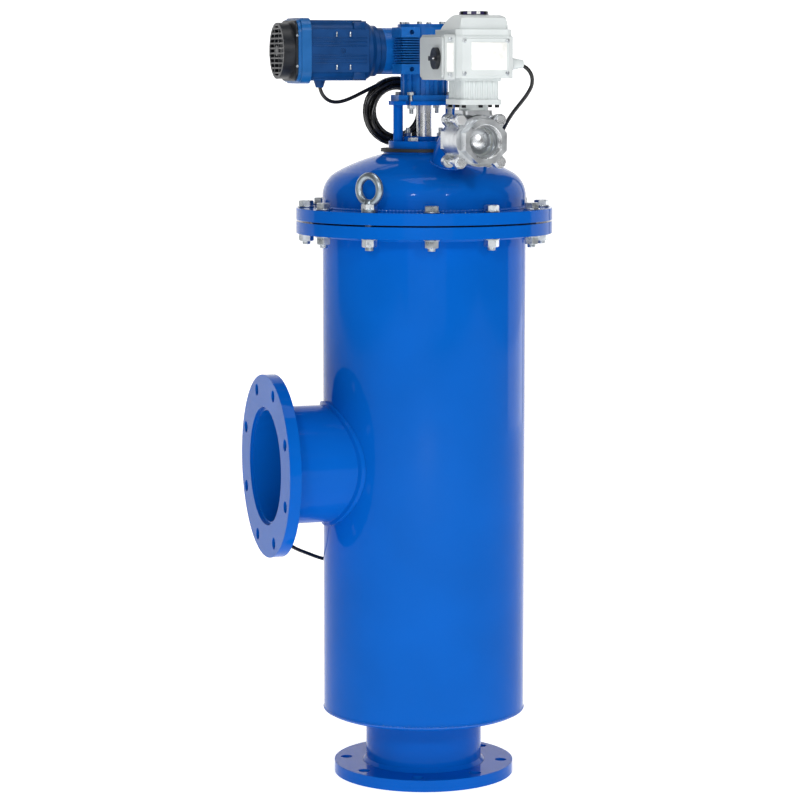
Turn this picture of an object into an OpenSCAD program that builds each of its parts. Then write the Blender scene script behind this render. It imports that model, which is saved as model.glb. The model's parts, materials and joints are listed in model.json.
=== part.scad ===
// Self cleaning water filter: a welded pressure body with a bottom inlet and a
// side outlet, a screen inside, a motor-driven suction scanner and a flush line
// with an electrically operated ball valve. Millimetres, +Z up. The origin is
// the centre of the inlet flange's face; the outlet and motor point along -X
// and the flush port along -Y.

/* [Pipe connections] */
// Outside diameter of the inlet and outlet flanges
flange_od = 340; // [330:1:360]
// Thickness of the inlet and outlet flanges
flange_t = 22; // [16:1:28]
// Bolt circle diameter of the inlet and outlet flanges
flange_pcd = 295; // [285:1:300]
// Number of bolt holes in each pipe flange
flange_holes = 8; // [4:4:12]
// Diameter of each bolt hole in the pipe flanges
flange_hole_d = 22; // [14:1:24]
// Outside diameter of the inlet and outlet pipes
pipe_od = 219.1; // [200:0.1:230]
// Wall of the inlet and outlet pipes
pipe_wall = 6; // [4:0.5:9]
// Set-back of a welded-in pipe end from the flange face
weld_setback = 6; // [3:1:10]
// Height of the outlet's centre line
outlet_z = 600; // [480:1:760]
// Distance of the outlet flange's face from the body's axis
outlet_reach = 310; // [285:1:380]

/* [Body] */
// Height of the inlet neck, from the flange face to the body's bottom plate
neck_h = 120; // [80:1:160]
// Outside diameter of the body shell
shell_od = 380; // [370:1:400]
// Wall of the body shell
shell_wall = 8; // [6:0.5:10]
// Height from the bottom plate's underside to the cover joint
body_h = 930; // [880:1:1100]
// Thickness of the bottom plate
bottom_t = 10; // [8:1:16]
// Leg of the fillet welds
weld_leg = 7; // [4:0.5:8]

/* [Cover] */
// Thickness of the body flange and of the cover flange
joint_flange_t = 22; // [18:1:28]
// Thickness of the gasket between them
gasket_t = 3; // [2:0.5:5]
// Distance of the cover bolts from the shell's surface
bolt_offset = 30; // [29:0.5:36]
// Flange width outside the cover's bolt circle
bolt_edge = 19.5; // [17:0.5:26]
// Number of bolt positions round the cover
cover_bolt_n = 12; // [12:4:16]
// Thread diameter of the cover bolts
cover_bolt_d = 16; // [12:1:18]
// Straight height of the dome above the cover flange
dome_straight = 21; // [12:1:40]
// Knuckle radius of the dome
knuckle_r = 52; // [40:1:60]
// Crown radius of the dome
crown_r = 340; // [320:1:360]
// Wall of the dome
dome_wall = 8; // [6:0.5:10]
// Ring outside diameter of an eye bolt
eye_od = 63; // [56:1:68]
// Section diameter of an eye bolt's ring
eye_section = 14; // [10:0.5:16]

/* [Drive stand] */
// Diameter of the pad that is welded into the crown
pad_d = 152; // [146:1:160]
// Thickness of the pad
pad_t = 12; // [10:1:16]
// Thickness of the rubber disc under the stand
rubber_t = 6; // [4:0.5:8]
// Diameter of the rubber disc
rubber_d = 162; // [158:1:168]
// Diameter of the stand's base and top plate
stand_d = 133; // [128:1:138]
// Thickness of the stand's base
stand_base_t = 14; // [10:1:18]
// Thickness of the stand's top plate
stand_top_t = 7.5; // [6:0.5:10]
// Height of the stand's columns
column_h = 66; // [60:1:80]
// Diameter of the stand's columns
column_d = 18; // [14:1:20]
// Distance of each column from the axis
column_r = 51; // [48:0.5:54]
// Diameter of the drive shaft
shaft_d = 28; // [22:1:30]

/* [Gearbox] */
// Width across the flats of the gearbox's octagonal flange
gear_flange_af = 115; // [110:1:120]
// Thickness of that flange
gear_flange_t = 11; // [9:0.5:14]
// Height of the ribbed neck between flange and housing
gear_neck_h = 38; // [30:1:46]
// Diameter of the ribbed neck
gear_neck_d = 88; // [82:1:92]
// Width of the gearbox housing along the worm
gear_w = 126; // [120:1:136]
// Height of the gearbox housing
gear_h = 86; // [82:1:94]
// Distance from the drive shaft to the housing's front face
gear_front = 58; // [54:1:62]
// Distance between the worm and the drive shaft
worm_offset = 50; // [48:1:54]

/* [Motor] */
// Side of the motor frame's square section
motor_side = 109; // [104:1:116]
// Length of the motor frame
motor_len = 112; // [100:1:140]
// Length of the drive-end adapter
adapter_len = 37; // [30:1:44]
// Side of the rear end shield
shield_side = 120; // [117:1:128]
// Length of the rear end shield
shield_len = 24; // [18:1:30]
// Diameter of the fan cowl
cowl_d = 103; // [96:1:110]
// Length of the fan cowl
cowl_len = 26; // [24:1:36]
// Diameter of the motor shaft
motor_shaft_d = 14; // [11:1:16]

/* [Flush valve] */
// Outside diameter of the flush pipe
flush_od = 60.3; // [58:0.1:64]
// Wall of the flush pipe
flush_wall = 4; // [3:0.5:5]
// Bend radius of the flush elbow
elbow_r = 76; // [72:1:80]
// Sideways offset of the flush line from the body's axis
flush_x = 6; // [0:0.5:12]
// Distance of the elbow's upright leg from the body's axis
elbow_y = 112; // [108:1:118]
// Height of the flush line above the welded pad
flush_rise = 26; // [22:1:32]
// Length of the ball valve from end to end
valve_len = 138; // [132:1:160]
// Diameter of the ball
ball_d = 76; // [72:1:78]
// Passage through the ball valve
valve_bore = 50; // [44:1:51]
// Spacing of the valve's body bolts, across and up
valve_bolt_pitch = 74; // [74:1:80]
// Diameter of the valve's body bolts
valve_bolt_d = 10; // [8:0.5:12]
// Diameter of the valve stem
stem_d = 16; // [12:1:18]

/* [Actuator] */
// Height from the flush line to the valve's top flange
valve_top_h = 54; // [52:1:60]
// Height of the actuator's fluted lower body
act_lower_h = 37; // [32:1:44]
// Height of the actuator's main body
act_body_h = 73; // [66:1:84]
// Width of the actuator's main body
act_body_w = 108; // [100:1:116]
// Depth of the actuator's main body
act_body_d = 135; // [128:1:142]
// Height of the tapered lid
act_lid_h = 37.5; // [34:0.5:46]
// Diameter of the position indicator
dial_d = 53; // [44:1:56]
// Diameter of the selector knob
knob_d = 38; // [30:1:42]

/* [Screen and scanner] */
// Outside diameter of the screen's cage
cage_od = 292; // [280:1:310]
// Wall of the screen's cage
cage_wall = 4; // [3:0.5:6]
// Wall of the fine screen inside the cage
mesh_wall = 2; // [1:0.5:3]
// Outside diameter of the suction pipe
suction_od = 76; // [70:1:84]
// Wall of the suction pipe
suction_wall = 4; // [3:0.5:5]
// Outside diameter of each suction nozzle
nozzle_od = 34; // [28:1:38]
// Gap between a nozzle's mouth and the fine screen
nozzle_gap = 3; // [2:0.5:6]
// Number of suction nozzles
nozzle_n = 5; // [4:1:6]

/* [Cables] */
// Diameter of both cables
cable_d = 7; // [5:0.5:8]

/* [Hidden] */
$fn = 96;

// Joint allowances
weld_gap = 0.2;
slip = 0.05;
clear = 0.3;

// Finishes
body_blue = [0.03, 0.25, 0.72];
drive_blue = [0.04, 0.19, 0.50];
zinc = [0.72, 0.74, 0.76];
stainless = [0.78, 0.79, 0.80];
rubber_black = [0.05, 0.05, 0.06];
cowl_black = [0.07, 0.07, 0.08];
pale_grey = [0.84, 0.86, 0.87];
seat_white = [0.93, 0.93, 0.90];
bronze = [0.70, 0.50, 0.25];
core_grey = [0.45, 0.46, 0.48];

// Pipes, shell and cover joint
pipe_r = pipe_od / 2;
pipe_ir = pipe_r - pipe_wall;
shell_r = shell_od / 2;
shell_ir = shell_r - shell_wall;
shell_z = neck_h + bottom_t;
joint_z = neck_h + body_h;
body_flange_z = joint_z - joint_flange_t;
cover_z = joint_z + gasket_t;
cover_top_z = cover_z + joint_flange_t;
bolt_r = shell_r + bolt_offset;
joint_od = 2 * (bolt_r + bolt_edge);
bolt_hole_d = cover_bolt_d + 1.5;
bolt_af = 1.5 * cover_bolt_d;
bolt_head_h = 0.625 * cover_bolt_d;
bolt_nut_h = 0.8 * cover_bolt_d;
washer_d = cover_bolt_d + 14;
washer_t = 3;
bolt_tail = 6;
bolt_step = 360 / cover_bolt_n;
eye_places = [floor(cover_bolt_n / 8), floor(cover_bolt_n / 8) + cover_bolt_n / 2];
bolt_places = [for (i = [0 : cover_bolt_n - 1]) if (i != eye_places[0] && i != eye_places[1]) i];
eye_collar_d = washer_d;
eye_collar_h = 16;
eye_turn = -14;

// Dome, pad and drive stand, from the cover upwards
tangent_z = cover_top_z + dome_straight;
crown_zc = tangent_z - sqrt(pow(crown_r - knuckle_r, 2) - pow(shell_r - knuckle_r, 2));
pad_z = crown_zc + sqrt(pow(crown_r - dome_wall, 2) - pow(pad_d / 2, 2));
pad_top = pad_z + pad_t;
stand_z = pad_top + rubber_t;
column_z = stand_z + stand_base_t;
stand_top_z = column_z + column_h;
gear_flange_z = stand_top_z + stand_top_t;
gear_neck_z = gear_flange_z + gear_flange_t;
gear_z = gear_neck_z + gear_neck_h;
gear_top = gear_z + gear_h;
worm_z = gear_z + gear_h / 2;
stand_bolt_r = 46;
stand_bolt_d = 10;
stand_bolt_af = 16;
stand_bolt_head = 6.5;
flange_bolt_r = gear_neck_d / 2 + 9;
flange_bolt_d = 8;
flange_bolt_af = 13;
flange_bolt_tail = 16;

// Shaft seal
packing_d = shaft_d + 16;
packing_depth = 28;
packing_n = 5;
gland_t = 8;
gland_stud_x = 32;
gland_stud_d = 8;
gland_stud_up = 24;
gland_drop = 3;

// Gearbox internals
bearing_od = shaft_d + 19;
bearing_h = 15;
gear_floor = 6;
wheel_w = 24;
worm_r = 13;
mesh_gap = 0.3;
wheel_r = worm_offset - worm_r + 2;
cavity_r = wheel_r + 3;
input_t = 8;
input_r = 43;
worm_bore_r = 18;
worm_end = gear_w / 2 - 6;
worm_journal_r = 10;
worm_bearing_h = 10;
gear_cover_r = 50;
gear_cover_t = 6;
fin_pitch = 4.6;
fin_t = 2;
lug_w = 36;
lug_h = 19;
lug_hole_d = 9;

// Motor stations, measured along its axis away from the gearbox
adapter_at = gear_w / 2 + input_t;
frame_at = adapter_at + adapter_len;
shield_at = frame_at + motor_len;
cowl_at = shield_at + shield_len;
cowl_end = cowl_at + cowl_len;
motor_bore_r = motor_side / 2 - 9;
frame_round = 22;
shield_round = 24;
stator_wall = 14;
air_gap = 0.5;
rotor_r = motor_bore_r - weld_gap - stator_wall - air_gap;
core_inset = 13;
motor_bearing_h = 10;
motor_bearing_r = motor_shaft_d / 2 + 10;
cowl_wall = 2.5;
cowl_base_t = 4;
grille_pitch = 9;
grille_slot = 6;
fan_r = cowl_d / 2 - cowl_wall - 5;
fan_hub_r = 17;
fan_w = 13;
fan_blades = 7;
motor_gland_at = shield_at - 32;
motor_gland_d = 22;
motor_gland_h = 13;

// Flush line and ball valve, along the flush axis
flush_z = pad_top + flush_rise;
flush_r = flush_od / 2;
elbow_end = elbow_y + elbow_r;
valve_at = elbow_end + valve_len / 2;
valve_y = -valve_at;
ball_r = ball_d / 2;
valve_half = 23;
valve_r = ball_r + 7;
cap_flange_t = 14;
cap_af = 76;
lug_r = 11;
socket_depth = 24;
socket_d = flush_od + 2 * weld_gap;
seat_depth = 8;
seat_r = ball_r - 4;
ball_flat = ball_r - 2;
stub_h = 20;
valve_pad_side = 56;
valve_pad_t = 8;
valve_neck_r = 18;

// Actuator levels
valve_top_z = flush_z + valve_top_h;
act_spigot_h = 10;
act_flange_t = 9.5;
act_z = valve_top_z + act_spigot_h + act_flange_t;
act_body_z = act_z + act_lower_h;
act_lid_z = act_body_z + act_body_h;
act_top = act_lid_z + act_lid_h;
act_lower_w = 68;
act_lower_d = 85;
act_flange_w = 78;
act_flange_d = 90;
act_band_h = 12;
act_lid_w = 80;
act_lid_d = 102;
act_taper = 12;
lid_crest = 20;
lid_round = 100;
act_corner = 9;
spindle_d = stem_d - 2;
act_left = flush_x - 1 - act_body_w / 2;
act_right = act_left + act_body_w;
cover_depth = 24;
side_cover_w = 128;
side_cover_h = 79;
knob_y = valve_y - 33;
knob_rise = 34.5;
knob_z = act_body_z + knob_rise;
knob_t = 7;
knob_pin_d = 8;
knob_pin_len = 12;
act_gland_y = valve_y - 28;
act_gland_z = act_body_z + 25;
act_gland_len = 29;

// Screen and scanner levels
cage_r = cage_od / 2;
mesh_r = cage_r - cage_wall - weld_gap;
mesh_ir = mesh_r - mesh_wall;
chamber_t = 12;
chamber_drop = 40;
chamber_z = body_flange_z - chamber_drop;
screen_z = shell_z;
screen_h = chamber_z - screen_z;
suction_r = suction_od / 2;
suction_lift = 45;
suction_z = shell_z + suction_lift;
suction_rise = 45;
suction_top = chamber_z + chamber_t + suction_rise;
window_h = 26;
foot_pin_d = 30;
foot_pin_h = 28;
spider_t = 20;
spider_z = suction_z - foot_pin_h;
spider_port = mesh_ir * 0.46;
bush_wall = 5;
nozzle_margin = 220;
nozzle_step = (screen_h - nozzle_margin) / (nozzle_n - 1);
nozzle_rise = 80;
nozzle_z = suction_z + nozzle_rise;
nozzle_mouth_d = nozzle_od + 14;
shaft_hub_h = 12;

// Cable coil behind the stand, leaning on the rubber disc's edge
coil_r = 53;
coil_section = 14;
coil_x = -27;
coil_y = 85;
coil_z = stand_z + clear + coil_r + coil_section;

// Length of one chord of a cable's bend out of its gland
cable_step = 9.6;

// Points from a start along chords of one length in the given directions
function along(start, steps) = [
    for (
        i = 0, p = start;
        i <= len(steps);
        p = p + (i < len(steps) ? cable_step * steps[i] / norm(steps[i]) : [0, 0, 0]), i = i + 1
    )
        p
];

// The motor's cable drops out of its gland, turns evenly from the vertical and rises to the coil
motor_heading = 12.5;
motor_turns = [4, 16, 32, 49, 66, 82, 94, 102, 107, 110.5, 112.5];
motor_bend = along(
    [-188, 50, 1308],
    [for (a = motor_turns) [sin(a) * cos(motor_heading), sin(a) * sin(motor_heading), -cos(a)]]
);
motor_rise = [[-82, 72.8, 1294.6], [-64, 76, 1302.2], [-48, 78.5, 1309]];

// The actuator's cable leaves its gland sideways and turns down, with a growing share to the back
actuator_turns = [
    [4, 0], [15, 0], [30, 0.04], [46, 0.12], [62, 0.24], [77, 0.4], [91, 0.56], [103, 0.72], [109, 0.82], [111, 0.9]
];
actuator_bend = along([69, -285, 1340], [for (s = actuator_turns) [cos(s[0]), s[1], -sin(s[0])]]);

// It goes on round the dome and down behind the body to the outlet
actuator_fall = [
    [98, -243, 1268], [92, -228, 1254], [88, -211, 1239], [86, -193, 1223], [84, -172, 1204], [87, -138, 1184],
    [92, -100, 1168], [98, -50, 1171], [98, 0, 1175], [91, 48, 1174], [72, 92, 1169], [52, 132, 1158],
    [36, 168, 1144], [28, 192, 1119], [24, 214, 1093], [22, 236, 1083], [20, 252, 1064], [8, 250, 1010],
    [-4, 230, 930], [-12, 208, 800], [-15, 203, 640], [-20, 203, 480], [-36, 201, 418], [-66, 193, 389],
    [-108, 173, 382], [-150, 154, 390], [-186, 148, 404], [-220, 146, 421], [-246, 142, 448], [-260, 136, 482],
    [-268, 126, 530], [-270, 114, 600]
];

// Copies its children n times round the Z axis, at radius r from angle a
module polar(n, r, a = 0) {
    for (i = [0 : n - 1])
        rotate([0, 0, a + i * 360 / n])
            translate([r, 0, 0])
                children();
}

// Puts its children at the listed bolt positions of the cover
module at_bolts(places) {
    for (i = places)
        rotate([0, 0, (i + 0.5) * bolt_step])
            translate([bolt_r, 0, 0])
                children();
}

// A plain tube standing on z = 0
module tube(od, id, h) {
    difference() {
        cylinder(d = od, h = h);
        translate([0, 0, -1])
            cylinder(d = id, h = h + 2);
    }
}

// A hexagon prism of given width across flats
module hexagon(af, h) {
    cylinder(d = af / cos(30), h = h, $fn = 6);
}

// A rectangle with round corners, centred
module rounded(w, h, r) {
    square([w - 2 * r, h], center = true);
    square([w, h - 2 * r], center = true);
    for (x = [-1, 1], y = [-1, 1])
        translate([x * (w / 2 - r), y * (h / 2 - r)])
            circle(r);
}

// A rectangle with chamfered corners, centred
module chamfered(w, h, c) {
    polygon([
        [-w / 2 + c, -h / 2], [w / 2 - c, -h / 2], [w / 2, -h / 2 + c], [w / 2, h / 2 - c],
        [w / 2 - c, h / 2], [-w / 2 + c, h / 2], [-w / 2, h / 2 - c], [-w / 2, -h / 2 + c]
    ]);
}

// A fillet weld round a pipe of radius r, standing on z = 0
module fillet_weld(r) {
    rotate_extrude()
        polygon([[r - 1, 0], [r + weld_leg, 0], [r, weld_leg], [r - 1, weld_leg]]);
}

// Local Z runs along -X from the body's axis at the outlet's height
module outlet_axis() {
    translate([0, 0, outlet_z])
        rotate([0, -90, 0])
            children();
}

// Local Z runs along -X on the motor and worm axis, local X points up
module motor_axis() {
    translate([0, worm_offset, worm_z])
        rotate([0, -90, 0])
            children();
}

// Local Z runs along -Y on the flush line, local Y points up
module flush_axis() {
    translate([flush_x, 0, flush_z])
        rotate([90, 0, 0])
            children();
}

// Stem axis of the ball valve, from height z
module stem_axis(z) {
    translate([flush_x, valve_y, z])
        children();
}

// A slip-on pipe flange with its face at z = 0, bolt holes straddling the axes
module pipe_flange() {
    difference() {
        cylinder(d = flange_od, h = flange_t);
        translate([0, 0, -1])
            cylinder(d = pipe_od + 2 * weld_gap, h = flange_t + 2);
        polar(flange_holes, flange_pcd / 2, 180 / flange_holes)
            translate([0, 0, -1])
                cylinder(d = flange_hole_d, h = flange_t + 2, $fn = 32);
    }
}

module inlet_flange() {
    color(body_blue)
        pipe_flange();
}

// Inlet pipe between flange and bottom plate, with its welds
module inlet_neck() {
    color(body_blue)
        difference() {
            union() {
                translate([0, 0, weld_setback])
                    cylinder(r = pipe_r, h = neck_h - weld_setback);
                translate([0, 0, flange_t])
                    fillet_weld(pipe_r);
                translate([0, 0, neck_h])
                    mirror([0, 0, 1])
                        fillet_weld(pipe_r);
            }
            cylinder(r = pipe_ir, h = neck_h + 1);
        }
}

module bottom_plate() {
    color(body_blue)
        rotate_extrude()
            translate([0, neck_h])
                polygon([
                    [pipe_ir, 0], [shell_r - weld_leg, 0], [shell_r, weld_leg],
                    [shell_r, bottom_t], [pipe_ir, bottom_t]
                ]);
}

// Body shell with the outlet opening and the weld under the body flange
module shell() {
    color(body_blue)
        difference() {
            union() {
                translate([0, 0, shell_z])
                    cylinder(r = shell_r, h = joint_z - weld_setback - shell_z, $fn = 128);
                translate([0, 0, body_flange_z])
                    mirror([0, 0, 1])
                        fillet_weld(shell_r);
            }
            translate([0, 0, shell_z - 1])
                cylinder(r = shell_ir, h = body_h, $fn = 128);
            outlet_axis()
                cylinder(d = pipe_od + 2 * weld_gap, h = outlet_reach);
        }
}

// Outlet pipe, coped to the shell's inside, with its saddle weld and flange weld
module outlet_nozzle() {
    color(body_blue)
        difference() {
            union() {
                outlet_axis()
                    cylinder(r = pipe_r, h = outlet_reach - weld_setback);
                outlet_axis()
                    translate([0, 0, outlet_reach - flange_t])
                        mirror([0, 0, 1])
                            fillet_weld(pipe_r);
                intersection() {
                    outlet_axis()
                        cylinder(r = pipe_r + weld_leg, h = shell_od);
                    translate([0, 0, outlet_z - shell_r])
                        tube(shell_od + 2 * weld_leg, shell_od + 2 * weld_gap, shell_od);
                }
            }
            translate([0, 0, outlet_z - shell_r])
                cylinder(r = shell_ir, h = shell_od, $fn = 128);
            outlet_axis()
                cylinder(r = pipe_ir, h = outlet_reach + 1);
        }
}

module outlet_flange() {
    color(body_blue)
        outlet_axis()
            translate([0, 0, outlet_reach])
                mirror([0, 0, 1])
                    pipe_flange();
}

// One ring of the bolted joint between body and cover, standing on z = 0
module joint_ring() {
    difference() {
        tube(joint_od, shell_od + 2 * weld_gap, joint_flange_t);
        at_bolts([0 : cover_bolt_n - 1])
            translate([0, 0, -1])
                cylinder(d = bolt_hole_d, h = joint_flange_t + 2, $fn = 32);
    }
}

module body_flange() {
    color(body_blue)
        translate([0, 0, body_flange_z])
            joint_ring();
}

module main_gasket() {
    color(rubber_black)
        translate([0, 0, joint_z])
            tube(2 * bolt_r - bolt_hole_d - 2, shell_od + 2, gasket_t);
}

module cover_flange() {
    color(body_blue)
        translate([0, 0, cover_z])
            joint_ring();
}

// Half section of the dished head, drawn inwards by the distance w
module dish_section(w) {
    slope = [shell_r - knuckle_r, tangent_z - crown_zc];
    intersection() {
        union() {
            translate([0, cover_z])
                square([shell_r - w, tangent_z - cover_z]);
            translate([shell_r - knuckle_r, tangent_z])
                circle(knuckle_r - w);
            intersection() {
                translate([0, crown_zc])
                    circle(crown_r - w, $fn = 180);
                translate([0, crown_zc])
                    polygon([[0, 0], 2 * slope, [0, 2 * slope[1]]]);
            }
        }
        translate([0, cover_z])
            square([shell_r, crown_r]);
    }
}

// The flush pipe's centre line, thickened to diameter d: stub, bend and straight
module flush_path(d) {
    translate([flush_x, -elbow_y, flush_z - elbow_r - stub_h])
        cylinder(d = d, h = stub_h);
    translate([flush_x, -elbow_end, flush_z - elbow_r])
        rotate([90, 0, 90])
            rotate_extrude(angle = 90)
                translate([elbow_r, 0])
                    circle(d = d);
    flush_axis()
        translate([0, 0, elbow_end])
            cylinder(d = d, h = socket_depth);
}

// Dished head of the cover, open for the welded pad and the flush elbow
module cover_dome() {
    color(body_blue)
        difference() {
            rotate_extrude($fn = 128)
                difference() {
                    dish_section(0);
                    dish_section(dome_wall);
                    square([pad_d / 2 + weld_gap, 2 * pad_top]);
                    square([shell_od, cover_z + weld_setback]);
                }
            flush_path(flush_od + 2 * weld_gap);
        }
}

// Pad in the crown, with the stuffing box under it
module cover_pad() {
    color(body_blue)
        difference() {
            union() {
                translate([0, 0, pad_z])
                    cylinder(d = pad_d, h = pad_t);
                translate([0, 0, pad_z - packing_depth - gear_floor])
                    cylinder(d = packing_d + 16, h = packing_depth + gear_floor);
            }
            translate([0, 0, pad_z - packing_depth])
                cylinder(d = packing_d, h = packing_depth + pad_t + 1);
            translate([0, 0, pad_z - packing_depth - gear_floor - 1])
                cylinder(d = shaft_d + 2 * clear, h = gear_floor + 2);
            polar(4, stand_bolt_r, 45)
                translate([0, 0, pad_z - 1])
                    cylinder(d = stand_bolt_d + 2 * slip, h = pad_t + 2, $fn = 32);
        }
}

// A washer of the cover joint, lying on z = 0
module washer() {
    tube(washer_d, bolt_hole_d, washer_t, $fn = 32);
}

// Hexagon bolts of the cover, heads up, with their washers
module cover_bolts() {
    low = body_flange_z - washer_t - bolt_nut_h - bolt_tail;
    high = cover_top_z + washer_t;
    color(zinc)
        at_bolts(bolt_places) {
            translate([0, 0, low])
                cylinder(d = cover_bolt_d, h = high - low + 1, $fn = 32);
            translate([0, 0, high])
                hexagon(bolt_af, bolt_head_h);
            translate([0, 0, cover_top_z])
                washer();
        }
}

// Nuts and washers under the body flange
module cover_nuts() {
    color(zinc)
        at_bolts([0 : cover_bolt_n - 1]) {
            translate([0, 0, body_flange_z - washer_t - bolt_nut_h])
                difference() {
                    hexagon(bolt_af, bolt_nut_h);
                    translate([0, 0, -1])
                        cylinder(d = cover_bolt_d + 2 * slip, h = bolt_nut_h + 2, $fn = 32);
                }
            translate([0, 0, body_flange_z - washer_t])
                washer();
        }
}

// Lifting eye bolts, rings facing outwards
module eye_bolts() {
    low = body_flange_z - washer_t - bolt_nut_h - bolt_tail;
    color(zinc)
        at_bolts(eye_places) {
            translate([0, 0, low])
                cylinder(d = cover_bolt_d, h = cover_top_z - low + 1, $fn = 32);
            translate([0, 0, cover_top_z])
                cylinder(d = eye_collar_d, h = 5, $fn = 48);
            translate([0, 0, cover_top_z + 4])
                cylinder(d1 = eye_collar_d - 2, d2 = eye_section + 6, h = eye_collar_h, $fn = 48);
            translate([0, 0, cover_top_z + eye_collar_h + (eye_od - eye_section) / 2])
                rotate([0, 90, eye_turn])
                    rotate_extrude($fn = 64)
                        translate([(eye_od - eye_section) / 2, 0])
                            circle(d = eye_section, $fn = 32);
        }
}

module rubber_disc() {
    color(rubber_black)
        translate([0, 0, pad_top])
            difference() {
                tube(rubber_d, packing_d + 2, rubber_t);
                polar(4, stand_bolt_r, 45)
                    translate([0, 0, -1])
                        cylinder(d = stand_bolt_d + 1, h = rubber_t + 2, $fn = 32);
            }
}

// Base disc of the drive stand
module stand_base() {
    color(body_blue)
        translate([0, 0, stand_z])
            difference() {
                tube(stand_d, packing_d + 2, stand_base_t);
                polar(4, stand_bolt_r, 45)
                    translate([0, 0, -1])
                        cylinder(d = stand_bolt_d + 1, h = stand_base_t + 2, $fn = 32);
                polar(2, gland_stud_x)
                    translate([0, 0, gland_drop])
                        cylinder(d = gland_stud_d + 2 * slip, h = stand_base_t, $fn = 32);
            }
}

// Open bolt slots through a plate, from the flange bolts out to its edge
module bolt_slots(h) {
    polar(4, flange_bolt_r, 45)
        translate([0, 0, -1]) {
            cylinder(d = flange_bolt_d + 1.5, h = h + 2, $fn = 32);
            translate([0, -flange_bolt_d / 2 - 0.75, 0])
                cube([stand_d, flange_bolt_d + 1.5, h + 2]);
        }
}

// Two columns welded under the stand's top plate
module stand_yoke() {
    color(body_blue) {
        translate([0, 0, stand_top_z])
            difference() {
                tube(stand_d, shaft_d + 20, stand_top_t);
                bolt_slots(stand_top_t);
            }
        polar(2, column_r)
            translate([0, 0, column_z])
                cylinder(d = column_d, h = column_h + 1, $fn = 48);
    }
}

module stand_bolts() {
    low = pad_z + 2;
    color(zinc)
        polar(4, stand_bolt_r, 45) {
            translate([0, 0, low])
                cylinder(d = stand_bolt_d, h = column_z - low + 1, $fn = 32);
            translate([0, 0, column_z])
                hexagon(stand_bolt_af, stand_bolt_head);
        }
}

// Stack of packing rings round the drive shaft
module packing_rings() {
    ring_h = (packing_depth + pad_t - gland_drop) / packing_n;
    color(pale_grey)
        for (i = [0 : packing_n - 1])
            translate([0, 0, pad_z - packing_depth + i * ring_h])
                tube(packing_d - 2 * slip, shaft_d + 2 * slip, ring_h);
}

// Gland follower: a sleeve on the packing and an oval flange for its two studs
module packing_gland() {
    sleeve_z = pad_top - gland_drop;
    color(body_blue)
        difference() {
            union() {
                translate([0, 0, sleeve_z])
                    cylinder(d = packing_d - 2 * clear, h = column_z - sleeve_z + 1);
                translate([0, 0, column_z])
                    linear_extrude(gland_t) {
                        circle(d = packing_d + 8);
                        square([2 * gland_stud_x, 2 * gland_stud_d], center = true);
                        for (x = [-1, 1])
                            translate([x * gland_stud_x, 0])
                                circle(gland_stud_d, $fn = 32);
                    }
            }
            translate([0, 0, sleeve_z - 1])
                cylinder(d = shaft_d + 2 * clear, h = column_z + gland_t - sleeve_z + 2);
            polar(2, gland_stud_x)
                translate([0, 0, column_z - 1])
                    cylinder(d = gland_stud_d + 1, h = gland_t + 2, $fn = 32);
        }
}

module gland_studs() {
    low = stand_z + gland_drop;
    color(zinc)
        polar(2, gland_stud_x) {
            translate([0, 0, low])
                cylinder(d = gland_stud_d, h = column_z + gland_stud_up - low, $fn = 32);
            translate([0, 0, column_z + gland_t])
                hexagon(13, 6.5);
        }
}

// Octagonal flange of the gearbox with its ribbed neck
module gearbox_flange() {
    rib_n = 16;
    rib_w = 7;
    color(drive_blue)
        difference() {
            union() {
                translate([0, 0, gear_flange_z])
                    rotate([0, 0, 22.5])
                        cylinder(d = gear_flange_af / cos(22.5), h = gear_flange_t, $fn = 8);
                translate([0, 0, gear_neck_z])
                    cylinder(d = gear_neck_d - 10, h = gear_neck_h);
                translate([0, 0, gear_neck_z])
                    intersection() {
                        cylinder(d = gear_neck_d, h = gear_neck_h);
                        for (i = [0 : rib_n / 2 - 1])
                            rotate([0, 0, (i + 0.5) * 360 / rib_n])
                                translate([-gear_neck_d, -rib_w / 2, 0])
                                    cube([2 * gear_neck_d, rib_w, gear_neck_h]);
                    }
            }
            translate([0, 0, gear_flange_z - 1])
                cylinder(d = shaft_d + 8, h = gear_flange_t + gear_neck_h + 2);
            translate([0, 0, gear_flange_z])
                bolt_slots(gear_flange_t);
        }
}

// Bolts and nuts that clamp the gearbox flange to the stand
module flange_bolts() {
    low = stand_top_z - flange_bolt_tail;
    nut_h = 6.5;
    color(zinc)
        polar(4, flange_bolt_r, 45) {
            translate([0, 0, low])
                cylinder(d = flange_bolt_d, h = gear_neck_z - low + 1, $fn = 32);
            translate([0, 0, gear_neck_z])
                hexagon(flange_bolt_af, 5.5);
            translate([0, 0, stand_top_z - nut_h])
                difference() {
                    hexagon(flange_bolt_af, nut_h);
                    translate([0, 0, -1])
                        cylinder(d = flange_bolt_d + 2 * slip, h = nut_h + 2, $fn = 32);
                }
        }
}

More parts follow.
